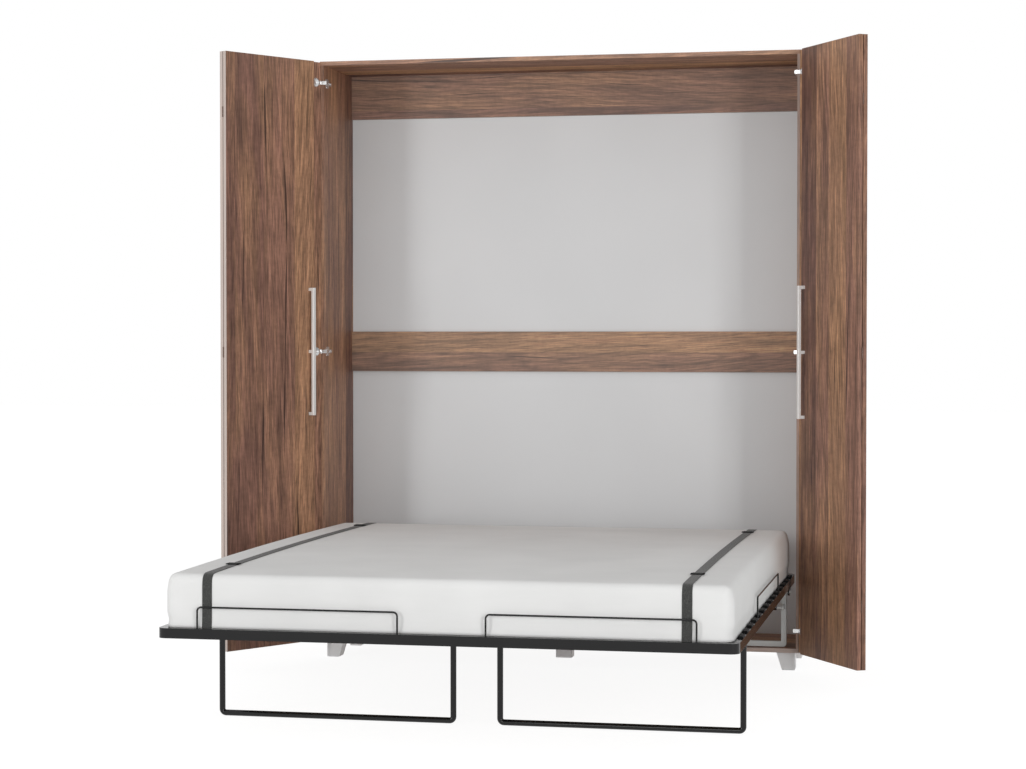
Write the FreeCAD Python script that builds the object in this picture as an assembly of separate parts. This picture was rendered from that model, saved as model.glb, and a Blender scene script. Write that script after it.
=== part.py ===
"""Double wall bed: a tall cabinet with two pairs of folding doors and a tube-frame bed that swings up.

Working frame: x across with 0 in the middle, y towards the wall with 0 at the cabinet's front edge, z up
from the floor, all in millimetres. The bed is down and the doors are folded open. The finished solids are
moved along y so that the origin is the bottom centre of the whole object.
"""
import FreeCAD
import Part
import math
import os
from FreeCAD import Vector

# Cabinet
FRAME_SIDE_ROOM = 14.5
FRAME_HEADROOM = 80.0
INNER_DEPTH = 404.0
BOARD = 16.0
BACK_BOARD = 4.0
TOP_RAIL_H = 177.0
MID_RAIL_H = 163.0
MID_RAIL_Z = 1134.0
FOOT_H = 70.0
FOOT_TOP_W = 71.0
FOOT_BOTTOM_W = 49.0
FOOT_DEPTH = 60.0
FOOT_INSET_X = 21.0
FOOT_INSET_Y = 18.0
FOOT_ROUND = 5.0
CENTRE_FOOT_W = 64.0

# Wall brackets on the cabinet's top, at the back
BRACKET_SPACING = 1200.0
BRACKET_W = 50.0
BRACKET_LEG = 40.0
BRACKET_T = 3.0
WALL_HOLE_R = 4.5
WALL_HOLE_Z = 24.0
SCREW_R = 2.0
SCREW_HEAD_R = 4.0
SCREW_HEAD_H = 2.4
SCREW_LENGTH = 12.0

# Folding doors: the outer leaf hangs on the cabinet, the inner leaf hangs on the outer one
LEAF_T = 16.0
LEAF_BACK_GAP = 2.0
LEAF_SIDE_REVEAL = 1.0
LEAF_END_REVEAL = 4.5
LEAF_JOINT_GAP = 2.0
CENTRE_GAP = 3.0
INNER_LEAF_SHORTER = 52.0
DOOR_OPEN_DEG = 121.5
FOLD_GAP = 3.0
PIVOT_FROM_SIDE = 1.5
PIVOT_FROM_FRONT = 6.0

# Cup hinges between cabinet and outer leaf
HINGE_INSET_Z = 80.0
HINGE_H = 16.0
HINGE_BARREL_R = 4.5
HINGE_PIN_R = 2.0
HINGE_KNUCKLE_H = 9.0
HINGE_ARM_T = 11.0
HINGE_ARM_L = 70.0
HINGE_ARM_H = 14.0
HINGE_ARM_ROUND = 2.0
HINGE_PLATE_T = 2.0
HINGE_PLATE_L = 34.0
HINGE_PLATE_H = 36.0
HINGE_PLATE_INSET = 28.0
HINGE_STRAP_T = 1.5
HINGE_STRAP_L = 48.0
CUP_R = 17.5
CUP_DEPTH = 11.0
CUP_WALL = 2.5
CUP_FROM_EDGE = 24.5

# Butt hinges between the two leaves
BUTT_INSET_Z = 230.0
BUTT_H = 40.0
BUTT_BARREL_R = 2.5
BUTT_PIN_R = 1.2
BUTT_KNUCKLE_H = 13.4
BUTT_LEAF_T = 1.2
BUTT_LEAF_L = 30.0

# Bar handles
HANDLE_L = 501.0
HANDLE_W = 14.0
HANDLE_T = 11.0
HANDLE_FINGER_GAP = 16.0
HANDLE_POST_H = 12.0
HANDLE_FROM_EDGE = 23.0
HANDLE_ROUND = 1.5

# Bed frame, of rectangular tube
FRAME_HEAD_Y = 132.0
RAIL_W = 30.0
RAIL_H = 32.0
RAIL_Z = 328.0
RAIL_WALL = 2.0
RAIL_CORNER_R = 29.0
CROSS_TUBE_H = 15.0
LEG_FROM_FRONT = 515.0
MIDDLE_TUBE_FROM_LEG = 650.0

# Slats and their holders
SLAT_COUNT = 14
SLAT_FROM_FRONT = 133.0
SLAT_FROM_HEAD = 113.5
SLAT_W = 53.0
SLAT_T = 8.0
SLAT_CAMBER = 6.0
SLAT_PLAY = 0.8
HOLDER_W = 62.0
HOLDER_POCKET = 18.0
HOLDER_BACK = 8.0
HOLDER_FLOOR = 1.2
HOLDER_LIP_T = 2.0
HOLDER_CAP_H = 6.0
HOLDER_CAP_GAP = 2.0
HOLDER_ROUND = 2.0

# Mattress, straps and hoops
MATTRESS_W = 1800.0
MATTRESS_L = 2000.0
MATTRESS_SIDE_ROOM = 19.5
MATTRESS_T = 172.0
MATTRESS_CROWN = 8.0
MATTRESS_DRAW_IN = 3.0
MATTRESS_CORNER_R = 32.0
MATTRESS_EDGE_R = 30.0
MATTRESS_BOTTOM_R = 10.0
SOFT_GAP = 0.3
STRAP_FROM_SIDE = 140.0
STRAP_W = 32.0
STRAP_T = 2.0
SLIDER_W = 45.0
SLIDER_L = 26.0
SLIDER_T = 5.0
SLIDER_SLOT = 5.0
SLIDER_ROUND = 2.0
SLIDER_FROM_FRONT = 260.0
SLIDER_FROM_HEAD = 211.0
HOOP_R = 3.0
HOOP_CLEARANCE = 3.0
HOOP_H = 70.0
HOOP_BEND = 13.0
HOOP_INNER_X = 140.0
HOOP_FROM_SIDE = 110.0
SIDE_HOOP_FIRST_SLAT = 4
SIDE_HOOP_LAST_SLAT = 9
SIDE_HOOP_FROM_HOLDER = 9.75
SIDE_HOOP_FROM_EDGE = 9.0

# Folding legs, of round tube
LEG_TUBE_R = 10.0
LEG_TUBE_WALL = 1.5
LEG_FROM_SIDE = 40.0
LEG_INNER_X = 79.0
LEG_BEND = 13.0
LEG_PIVOT_Z = 312.0
LEG_BARREL_L = 22.0
LEG_PIN_R = 5.0
CHEEK_T = 4.0
CHEEK_W = 26.0
SIDE_PLAY = 0.5

# Pivot stand on the cabinet's base, of square tube
STAND_Y = 60.0
STAND_TUBE = 20.0
STAND_WALL = 1.5
STAND_CORNER_R = 12.0
BED_PIVOT_Z = 300.0
BOSS_R = 15.0
BOSS_L = 20.0
PIVOT_PIN_R = 7.0
PIVOT_HEAD_R = 12.0
PIVOT_HEAD_T = 5.0
PIVOT_WASHER_T = 4.5
PIVOT_PLATE_T = 6.0
PIVOT_PLATE_INSET = 9.0
PIVOT_PLATE_TOP_W = 80.0
PIVOT_PLATE_EYE_R = 18.0
CLIP_W = 24.0
CLIP_T = 2.0
CLIP_FLANGE = 18.0
CLIP_SPACING = 560.0

# Gas struts that carry the bed's weight
STRUT_FROM_STAND = 32.0
STRUT_FOOT_AHEAD = 43.0
STRUT_FOOT_BELOW = 60.0
STRUT_LUG_AHEAD = 220.0
STRUT_LUG_ABOVE = 8.0
STRUT_BODY_R = 11.0
STRUT_BODY_L = 150.0
STRUT_ROD_R = 5.0
STRUT_ROD_START = 30.0
STRUT_EYE_R = 10.0
STRUT_EYE_W = 16.0
STRUT_NECK = 1.0
STUD_R = 5.0
STUD_PLATE_T = 6.0
FORK_THROAT = 22.0
FORK_CHEEK_T = 4.0
FORK_R = 9.0
FORK_PIN_R = 4.0
LUG_T = 5.0
LUG_MARGIN = 7.0
LUG_SLOT_PLAY = 2.6

# Clearances
RUNNING = 0.05
SEAT = 0.02
BED_DOWN_DEG = 0.0
BED_UP_DEG = 90.0

# Places worked out from the sizes above
FRAME_X = MATTRESS_W / 2 + MATTRESS_SIDE_ROOM
FRAME_L = MATTRESS_L + 2 * (HOOP_R + HOOP_CLEARANCE) + RAIL_W
FRAME_FRONT_Y = FRAME_HEAD_Y - FRAME_L
INSIDE_X = FRAME_X + FRAME_SIDE_ROOM
SIDE_X = INSIDE_X + BOARD
BASE_Z = FOOT_H
FLOOR_Z = BASE_Z + BOARD
CEILING_Z = BED_PIVOT_Z + STAND_Y - FRAME_FRONT_Y + FRAME_HEADROOM
TOP_Z = CEILING_Z + BOARD
CABINET_W = 2 * SIDE_X
CABINET_H = TOP_Z - BASE_Z
BACK_Y = INNER_DEPTH + BOARD + BACK_BOARD
RAIL_TOP = RAIL_Z + RAIL_H
RAIL_INSIDE_X = FRAME_X - RAIL_W
FRAME_FRONT_INSIDE_Y = FRAME_FRONT_Y + RAIL_W
FRAME_HEAD_INSIDE_Y = FRAME_HEAD_Y - RAIL_W
LEG_Y = FRAME_FRONT_Y + LEG_FROM_FRONT
LEG_OUTER_X = FRAME_X - LEG_FROM_SIDE
MIDDLE_TUBE_Y = LEG_Y + MIDDLE_TUBE_FROM_LEG
SLAT_HEAD_Y = FRAME_HEAD_INSIDE_Y - SLAT_FROM_HEAD
SLAT_FRONT_Y = FRAME_FRONT_INSIDE_Y + SLAT_FROM_FRONT
SLAT_PITCH = (SLAT_HEAD_Y - SLAT_FRONT_Y) / (SLAT_COUNT - 1)
BEAM_X = RAIL_W / 2
HOLDER_TOP = RAIL_TOP + HOLDER_LIP_T
SLAT_Z = HOLDER_TOP - SLAT_T - SLAT_CAMBER
HOLDER_Z = SLAT_Z - SLAT_PLAY - HOLDER_FLOOR
HOLDER_L = HOLDER_POCKET + HOLDER_BACK
MATTRESS_Z = HOLDER_TOP + SOFT_GAP
HOOP_FRONT_Y = FRAME_FRONT_Y + RAIL_W / 2
HOOP_HEAD_Y = FRAME_HEAD_Y - RAIL_W / 2
HOOP_OUTER_X = MATTRESS_W / 2 - HOOP_FROM_SIDE
MATTRESS_MIDDLE_Y = (HOOP_FRONT_Y + HOOP_HEAD_Y) / 2
MATTRESS_FRONT_Y = MATTRESS_MIDDLE_Y - MATTRESS_L / 2
MATTRESS_HEAD_Y = MATTRESS_MIDDLE_Y + MATTRESS_L / 2
STRAP_X = MATTRESS_W / 2 - STRAP_FROM_SIDE
SLIDER_FRONT_Y = MATTRESS_FRONT_Y + SLIDER_FROM_FRONT
SLIDER_HEAD_Y = MATTRESS_HEAD_Y - SLIDER_FROM_HEAD
DOOR_Z0 = BASE_Z + LEAF_END_REVEAL
DOOR_Z1 = TOP_Z - LEAF_END_REVEAL
DOOR_MIDDLE_Z = (DOOR_Z0 + DOOR_Z1) / 2
LEAF_EDGE_X = SIDE_X - LEAF_SIDE_REVEAL
LEAVES_W = LEAF_EDGE_X - CENTRE_GAP / 2 - LEAF_JOINT_GAP
OUTER_LEAF_W = (LEAVES_W + INNER_LEAF_SHORTER) / 2
INNER_LEAF_W = (LEAVES_W - INNER_LEAF_SHORTER) / 2
LEAF_BACK_Y = -LEAF_BACK_GAP
LEAF_END_X = LEAF_EDGE_X - OUTER_LEAF_W
DOOR_PIVOT = Vector(SIDE_X - PIVOT_FROM_SIDE, -PIVOT_FROM_FRONT, 0)
FOLD_PIVOT = Vector(LEAF_END_X - LEAF_JOINT_GAP / 2, LEAF_BACK_Y + FOLD_GAP / 2, 0)
INNER_BACK_Y = LEAF_BACK_Y + FOLD_GAP
INNER_FACE_Y = INNER_BACK_Y + LEAF_T
INNER_FREE_X = LEAF_END_X + INNER_LEAF_W
HINGE_HEIGHTS = (DOOR_Z0 + HINGE_INSET_Z, DOOR_MIDDLE_Z, DOOR_Z1 - HINGE_INSET_Z)
BUTT_HEIGHTS = (DOOR_Z0 + BUTT_INSET_Z, DOOR_MIDDLE_Z, DOOR_Z1 - BUTT_INSET_Z)
PIVOT_PLATE_X = RAIL_INSIDE_X + PIVOT_PLATE_INSET
STAND_X = PIVOT_PLATE_X - SIDE_PLAY - PIVOT_WASHER_T - BOSS_L / 2
STRUT_X = STAND_X - STRUT_FROM_STAND
STRUT_FOOT = Vector(0, STAND_Y - STRUT_FOOT_AHEAD, BED_PIVOT_Z - STRUT_FOOT_BELOW)
STRUT_LUG = Vector(0, STAND_Y - STRUT_LUG_AHEAD, BED_PIVOT_Z + STRUT_LUG_ABOVE)
LIFT_TUBE_Y = STRUT_LUG.y
ORIGIN_Y = (FRAME_FRONT_Y + BACK_Y) / 2

X_AXIS = Vector(1, 0, 0)
Y_AXIS = Vector(0, 1, 0)
Z_AXIS = Vector(0, 0, 1)
ORIGIN = Vector(0, 0, 0)


# Shared shapes

def box(x0, x1, y0, y1, z0, z1):
    return Part.makeBox(x1 - x0, y1 - y0, z1 - z0, Vector(x0, y0, z0))


def x_bar(x0, x1, y, z, radius):
    return Part.makeCylinder(radius, x1 - x0, Vector(x0, y, z), X_AXIS)


def y_bar(x, y0, y1, z, radius):
    return Part.makeCylinder(radius, y1 - y0, Vector(x, y0, z), Y_AXIS)


def z_bar(x, y, z0, z1, radius):
    return Part.makeCylinder(radius, z1 - z0, Vector(x, y, z0), Z_AXIS)


def fused(first, *others):
    return first.multiFuse(list(others)).removeSplitter()


def mirrored(shape):
    return shape.mirror(ORIGIN, X_AXIS)


def pair(shape):
    return [shape, mirrored(shape)]


def edges_along(shape, axis, keep):
    """Straight edges parallel to an axis whose middle passes the keep test."""
    found = []
    for edge in shape.Edges:
        run = edge.Vertexes[-1].Point - edge.Vertexes[0].Point
        if run.Length > 0 and run.cross(axis).Length < 1e-6 * run.Length and keep(edge.CenterOfMass):
            found.append(edge)
    return found


def prism(points, direction):
    """A flat outline swept along a straight direction."""
    outline = Part.makePolygon(points + [points[0]])
    return Part.Face(outline).extrude(direction)


def bent_path(points, bend):
    """Straight runs joined by arcs of one bend radius."""
    edges = []
    start = points[0]
    for before, corner, after in zip(points, points[1:], points[2:]):
        back = (before - corner).normalize()
        ahead = (after - corner).normalize()
        half = back.getAngle(ahead) / 2
        enter = corner + back * (bend / math.tan(half))
        leave = corner + ahead * (bend / math.tan(half))
        inward = (back + ahead).normalize()
        middle = corner + inward * (bend / math.sin(half) - bend)
        edges.append(Part.LineSegment(start, enter).toShape())
        edges.append(Part.Arc(enter, middle, leave).toShape())
        start = leave
    edges.append(Part.LineSegment(start, points[-1]).toShape())
    return Part.Wire(edges)


def bent_bar(points, bend, radius):
    circle = Part.makeCircle(radius, points[0], points[1] - points[0])
    return bent_path(points, bend).makePipeShell([Part.Wire(circle)], True, False)


def bent_tube(points, bend, radius, wall):
    return bent_bar(points, bend, radius).cut(bent_bar(points, bend, radius - wall))


def x_tube(x0, x1, y_middle):
    """A low cross tube of the bed frame, under the slats and open at its two ends."""
    y0 = y_middle - RAIL_W / 2
    y1 = y_middle + RAIL_W / 2
    top = RAIL_Z + CROSS_TUBE_H
    outside = box(x0, x1, y0, y1, RAIL_Z, top)
    bore = box(x0, x1, y0 + RAIL_WALL, y1 - RAIL_WALL, RAIL_Z + RAIL_WALL, top - RAIL_WALL)
    return outside.cut(bore)


def y_tube(x0, y0, y1):
    """A lengthwise tube of the bed frame, open at its two ends."""
    x1 = x0 + RAIL_W
    outside = box(x0, x1, y0, y1, RAIL_Z, RAIL_TOP)
    bore = box(x0 + RAIL_WALL, x1 - RAIL_WALL, y0, y1, RAIL_Z + RAIL_WALL, RAIL_TOP - RAIL_WALL)
    return outside.cut(bore)


# Cabinet

def cabinet_panels():
    rail_back = INNER_DEPTH + BOARD
    middle_rail_top = MID_RAIL_Z + MID_RAIL_H
    middle_rail = box(-INSIDE_X, INSIDE_X, INNER_DEPTH, rail_back, MID_RAIL_Z, middle_rail_top)
    top_rail = box(-INSIDE_X, INSIDE_X, INNER_DEPTH, rail_back, CEILING_Z - TOP_RAIL_H, CEILING_Z)
    side = box(INSIDE_X, SIDE_X, 0, BACK_Y, FLOOR_Z, CEILING_Z)
    return {
        "base_panel": box(-SIDE_X, SIDE_X, 0, BACK_Y, BASE_Z, FLOOR_Z),
        "top_panel": box(-SIDE_X, SIDE_X, 0, BACK_Y, CEILING_Z, TOP_Z),
        "right_side_panel": side,
        "left_side_panel": mirrored(side),
        "back_panel": box(-INSIDE_X, INSIDE_X, BACK_Y - BACK_BOARD, BACK_Y, FLOOR_Z, CEILING_Z),
        "top_cross_rail": top_rail,
        "middle_cross_rail": middle_rail,
    }


def corner_foot(y0):
    """Tapered foot: upright on its outer side, slanted on its inner side."""
    outer = SIDE_X - FOOT_INSET_X
    outline = [
        Vector(outer, y0, 0),
        Vector(outer, y0, BASE_Z),
        Vector(outer - FOOT_TOP_W, y0, BASE_Z),
        Vector(outer - FOOT_BOTTOM_W, y0, 0),
    ]
    foot = prism(outline, Vector(0, FOOT_DEPTH, 0))
    bottom = [edge for edge in foot.Edges if edge.BoundBox.ZMax < FOOT_ROUND]
    return foot.makeFillet(FOOT_ROUND, bottom)


def corner_feet():
    front = corner_foot(FOOT_INSET_Y)
    rear = corner_foot(BACK_Y - FOOT_INSET_Y - FOOT_DEPTH)
    return Part.makeCompound(pair(front) + pair(rear))


def centre_foot():
    half = CENTRE_FOOT_W / 2
    middle = BACK_Y / 2
    foot = box(-half, half, middle - half, middle + half, 0, BASE_Z)
    return foot.makeFillet(FOOT_ROUND, edges_along(foot, Z_AXIS, lambda centre: True))


def wall_bracket():
    """Steel angle on the cabinet's top, with one hole for the wall screw."""
    x = BRACKET_SPACING / 2
    x0 = x - BRACKET_W / 2
    x1 = x + BRACKET_W / 2
    flat = box(x0, x1, BACK_Y - BRACKET_LEG, BACK_Y, TOP_Z, TOP_Z + BRACKET_T)
    upright = box(x0, x1, BACK_Y - BRACKET_T, BACK_Y, TOP_Z, TOP_Z + BRACKET_LEG)
    bracket = fused(flat, upright)
    bracket = bracket.cut(y_bar(x, BACK_Y - BRACKET_T, BACK_Y, TOP_Z + WALL_HOLE_Z, WALL_HOLE_R))
    for screw_x in bracket_screw_places():
        hole = z_bar(screw_x, bracket_screw_y(), TOP_Z, TOP_Z + BRACKET_T, SCREW_R + SEAT)
        bracket = bracket.cut(hole)
    return bracket


def bracket_screw_places():
    x = BRACKET_SPACING / 2
    return (x - BRACKET_W / 4, x + BRACKET_W / 4)


def bracket_screw_y():
    return BACK_Y - BRACKET_LEG / 2 - BRACKET_T


def bracket_screws():
    screws = []
    for x in bracket_screw_places():
        head_z = TOP_Z + BRACKET_T
        head = z_bar(x, bracket_screw_y(), head_z, head_z + SCREW_HEAD_H, SCREW_HEAD_R)
        shank = z_bar(x, bracket_screw_y(), head_z - SCREW_LENGTH, head_z, SCREW_R)
        screws += pair(fused(head, shank))
    return Part.makeCompound(screws)


def top_panel_screw_holes():
    holes = []
    for x in bracket_screw_places():
        hole = z_bar(x, bracket_screw_y(), TOP_Z - SCREW_LENGTH, TOP_Z, SCREW_R + SEAT)
        holes += pair(hole)
    return holes


# Doors, drawn for the right side in the closed place of the outer leaf

def hinge_pin_place(z, half_height, radius):
    return z_bar(DOOR_PIVOT.x, DOOR_PIVOT.y, z - half_height, z + half_height, radius)


def butt_pin_place(z, half_height, radius):
    return z_bar(FOLD_PIVOT.x, FOLD_PIVOT.y, z - half_height, z + half_height, radius)


def hinge_arm(z):
    """Cabinet half of a cup hinge: an arm on its plate, and a strip round the panel's edge to the barrel."""
    half = HINGE_KNUCKLE_H / 2
    strip_back = -SOFT_GAP
    strip_front = strip_back - HINGE_STRAP_T
    arm_x0 = INSIDE_X - HINGE_ARM_T
    arm_z0 = z - HINGE_ARM_H / 2
    arm_z1 = z + HINGE_ARM_H / 2
    arm = box(arm_x0, INSIDE_X, strip_front, HINGE_ARM_L, arm_z0, arm_z1)
    arm = arm.makeFillet(HINGE_ARM_ROUND, edges_along(arm, Y_AXIS, lambda centre: centre.x < INSIDE_X))
    plate_y1 = HINGE_PLATE_INSET + HINGE_PLATE_L
    plate = box(INSIDE_X - HINGE_PLATE_T, INSIDE_X, HINGE_PLATE_INSET, plate_y1,
                z - HINGE_PLATE_H / 2, z + HINGE_PLATE_H / 2)
    neck_x = DOOR_PIVOT.x - HINGE_BARREL_R - SIDE_PLAY
    wide = box(arm_x0 + HINGE_ARM_ROUND, neck_x, strip_front, strip_back, arm_z0, arm_z1)
    neck = box(neck_x, DOOR_PIVOT.x, strip_front, strip_back, z - half, z + half)
    barrel = hinge_pin_place(z, half, HINGE_BARREL_R)
    return fused(arm, plate, wide, neck, barrel).cut(hinge_pin_place(z, half, HINGE_PIN_R + RUNNING))


def hinge_cup(z):
    """Door half of a cup hinge: the cup sunk in the leaf, its flange and the two outer knuckles."""
    cup_x = LEAF_EDGE_X - CUP_FROM_EDGE
    half = HINGE_H / 2
    flange_y0 = LEAF_BACK_Y - HINGE_STRAP_T
    flange = box(LEAF_EDGE_X - HINGE_STRAP_L, DOOR_PIVOT.x, flange_y0, LEAF_BACK_Y, z - half, z + half)
    cup = y_bar(cup_x, LEAF_BACK_Y - CUP_DEPTH, LEAF_BACK_Y, z, CUP_R)
    pocket = y_bar(cup_x, LEAF_BACK_Y - CUP_DEPTH + CUP_WALL, LEAF_BACK_Y, z, CUP_R - CUP_WALL)
    barrel = hinge_pin_place(z, half, HINGE_BARREL_R)
    middle = HINGE_KNUCKLE_H / 2 + SIDE_PLAY
    room = hinge_pin_place(z, middle, HINGE_BARREL_R + SIDE_PLAY)
    body = fused(flange, cup, barrel).cut(pocket).cut(room)
    return body.cut(hinge_pin_place(z, half, HINGE_PIN_R + RUNNING))


def hinge_cup_seat(z):
    """Room in the outer leaf for the cup, its flange and the barrel."""
    half = HINGE_H / 2 + SEAT
    cup_x = LEAF_EDGE_X - CUP_FROM_EDGE
    flange_y0 = LEAF_BACK_Y - HINGE_STRAP_T - SEAT
    flange = box(LEAF_EDGE_X - HINGE_STRAP_L - SEAT, LEAF_EDGE_X, flange_y0, LEAF_BACK_Y, z - half, z + half)
    cup = y_bar(cup_x, LEAF_BACK_Y - CUP_DEPTH - SEAT, LEAF_BACK_Y, z, CUP_R + SEAT)
    barrel = hinge_pin_place(z, half, HINGE_BARREL_R + SIDE_PLAY)
    return fused(flange, cup, barrel)


def butt_half(z, back_y, plate_y, knuckles):
    """One leaf of a butt hinge, with the knuckles that belong to it given as heights from its middle."""
    plate_x = FOLD_PIVOT.x + BUTT_BARREL_R + SIDE_PLAY
    y0 = min(back_y, plate_y)
    y1 = max(back_y, plate_y)
    half = BUTT_H / 2
    shape = box(plate_x, FOLD_PIVOT.x + BUTT_LEAF_L, y0, y1, z - half, z + half)
    for low, high in knuckles:
        barrel = z_bar(FOLD_PIVOT.x, FOLD_PIVOT.y, z + low, z + high, BUTT_BARREL_R)
        tab = box(FOLD_PIVOT.x, plate_x, y0, y1, z + low, z + high)
        shape = fused(shape, barrel, tab)
    return shape.cut(butt_pin_place(z, half, BUTT_PIN_R + RUNNING))


def outer_butt_half(z):
    gap_edge = BUTT_KNUCKLE_H / 2 + SIDE_PLAY / 2
    half = BUTT_H / 2
    return butt_half(z, LEAF_BACK_Y, LEAF_BACK_Y + BUTT_LEAF_T, ((gap_edge, half), (-half, -gap_edge)))


def inner_butt_half(z):
    half = BUTT_KNUCKLE_H / 2
    return butt_half(z, INNER_BACK_Y, INNER_BACK_Y - BUTT_LEAF_T, ((-half, half),))


def butt_notch(z):
    return butt_pin_place(z, BUTT_H / 2 + SIDE_PLAY, BUTT_BARREL_R + SIDE_PLAY)


def outer_leaf():
    leaf = box(LEAF_END_X, LEAF_EDGE_X, LEAF_BACK_Y - LEAF_T, LEAF_BACK_Y, DOOR_Z0, DOOR_Z1)
    for z in HINGE_HEIGHTS:
        leaf = leaf.cut(hinge_cup_seat(z))
    for z in BUTT_HEIGHTS:
        leaf = leaf.cut(butt_notch(z))
    return leaf


def inner_leaf():
    leaf = box(LEAF_END_X, INNER_FREE_X, INNER_BACK_Y, INNER_FACE_Y, DOOR_Z0, DOOR_Z1)
    for z in BUTT_HEIGHTS:
        leaf = leaf.cut(butt_notch(z))
    return leaf


def handle():
    """Bar handle on three posts."""
    x = INNER_FREE_X - HANDLE_FROM_EDGE
    x0 = x - HANDLE_W / 2
    x1 = x + HANDLE_W / 2
    z0 = DOOR_MIDDLE_Z - HANDLE_L / 2
    z1 = DOOR_MIDDLE_Z + HANDLE_L / 2
    bar_y = INNER_FACE_Y + HANDLE_FINGER_GAP
    bar = box(x0, x1, bar_y, bar_y + HANDLE_T, z0, z1)
    posts = []
    for low in (z0, DOOR_MIDDLE_Z - HANDLE_POST_H / 2, z1 - HANDLE_POST_H):
        posts.append(box(x0, x1, INNER_FACE_Y, bar_y, low, low + HANDLE_POST_H))
    whole = fused(bar, *posts)
    long_edges = edges_along(whole, Z_AXIS, lambda centre: centre.y > bar_y + HANDLE_T / 2)
    return whole.makeFillet(HANDLE_ROUND, long_edges)


def swung(shape):
    """From the closed place of the outer leaf to the open pose."""
    turned = shape.copy()
    turned.rotate(DOOR_PIVOT, Z_AXIS, DOOR_OPEN_DEG)
    return turned


def door_nodes():
    fold_pins = [butt_pin_place(z, BUTT_H / 2, BUTT_PIN_R) for z in BUTT_HEIGHTS]
    right = {
        "outer_door_leaf": outer_leaf(),
        "inner_door_leaf": inner_leaf(),
        "hinge_cups": Part.makeCompound([hinge_cup(z) for z in HINGE_HEIGHTS]),
        "outer_fold_hinges": Part.makeCompound([outer_butt_half(z) for z in BUTT_HEIGHTS]),
        "inner_fold_hinges": Part.makeCompound([inner_butt_half(z) for z in BUTT_HEIGHTS]),
        "fold_hinge_pins": Part.makeCompound(fold_pins),
        "door_handle": handle(),
    }
    nodes = {}
    for name, shape in right.items():
        nodes["right_" + name] = swung(shape)
        nodes["left_" + name] = mirrored(swung(shape))
    arms = Part.makeCompound([hinge_arm(z) for z in HINGE_HEIGHTS])
    nodes["right_hinge_arms"] = arms
    nodes["left_hinge_arms"] = mirrored(arms)
    pins = [hinge_pin_place(z, HINGE_H / 2, HINGE_PIN_R) for z in HINGE_HEIGHTS]
    nodes["door_hinge_pins"] = Part.makeCompound(pins + [mirrored(pin) for pin in pins])
    return nodes


# Bed frame

def end_rail(y0, rounded_y):
    """Front or head rail: a tube across the frame with two rounded corners, open into the side rails."""
    y1 = y0 + RAIL_W
    outside = box(-FRAME_X, FRAME_X, y0, y1, RAIL_Z, RAIL_TOP)
    corners = edges_along(outside, Z_AXIS, lambda centre: abs(centre.y - rounded_y) < RAIL_W / 2)
    outside = outside.makeFillet(RAIL_CORNER_R, corners)
    low = RAIL_Z + RAIL_WALL
    high = RAIL_TOP - RAIL_WALL
    bore = box(-FRAME_X + RAIL_WALL, FRAME_X - RAIL_WALL, y0 + RAIL_WALL, y1 - RAIL_WALL, low, high)
    corners = edges_along(bore, Z_AXIS, lambda centre: abs(centre.y - rounded_y) < RAIL_W / 2)
    bore = bore.makeFillet(RAIL_W - 3 * RAIL_WALL, corners)
    mouth_y = y0 if rounded_y > y0 else y1 - RAIL_WALL
    mouth = box(RAIL_INSIDE_X + RAIL_WALL, FRAME_X - RAIL_WALL, mouth_y, mouth_y + RAIL_WALL, low, high)
    return outside.cut(fused(bore, *pair(mouth)))


def cross_tubes():
    tubes = []
    for y in (LEG_Y, MIDDLE_TUBE_Y, LIFT_TUBE_Y):
        tubes += pair(x_tube(BEAM_X, RAIL_INSIDE_X, y))
    return Part.makeCompound(tubes)


def pivot_plate():
    """Plate under the side rail that turns on the pivot pin."""
    x0 = PIVOT_PLATE_X
    x1 = PIVOT_PLATE_X + PIVOT_PLATE_T
    half = PIVOT_PLATE_TOP_W / 2
    outline = [
        Vector(x0, STAND_Y - half, RAIL_Z),
        Vector(x0, STAND_Y + half, RAIL_Z),
        Vector(x0, STAND_Y + PIVOT_PLATE_EYE_R, BED_PIVOT_Z),
        Vector(x0, STAND_Y - PIVOT_PLATE_EYE_R, BED_PIVOT_Z),
    ]
    web = prism(outline, Vector(PIVOT_PLATE_T, 0, 0))
    eye = x_bar(x0, x1, STAND_Y, BED_PIVOT_Z, PIVOT_PLATE_EYE_R)
    return fused(web, eye).cut(x_bar(x0, x1, STAND_Y, BED_PIVOT_Z, PIVOT_PIN_R + RUNNING))


def leg_bracket(x):
    """Two cheeks under the leg cross tube, with the pin hole through both."""
    inner = LEG_BARREL_L / 2 + SIDE_PLAY
    eye_r = CHEEK_W / 2
    cheeks = []
    for x0 in (x + inner, x - inner - CHEEK_T):
        web = box(x0, x0 + CHEEK_T, LEG_Y - eye_r, LEG_Y + eye_r, LEG_PIVOT_Z, RAIL_Z)
        eye = x_bar(x0, x0 + CHEEK_T, LEG_Y, LEG_PIVOT_Z, eye_r)
        cheek = fused(web, eye)
        cheeks.append(cheek.cut(x_bar(x0, x0 + CHEEK_T, LEG_Y, LEG_PIVOT_Z, LEG_PIN_R + SEAT)))
    return cheeks


def leg_pin(x):
    reach = LEG_BARREL_L / 2 + SIDE_PLAY + CHEEK_T
    return x_bar(x - reach, x + reach, LEG_Y, LEG_PIVOT_Z, LEG_PIN_R)


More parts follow.
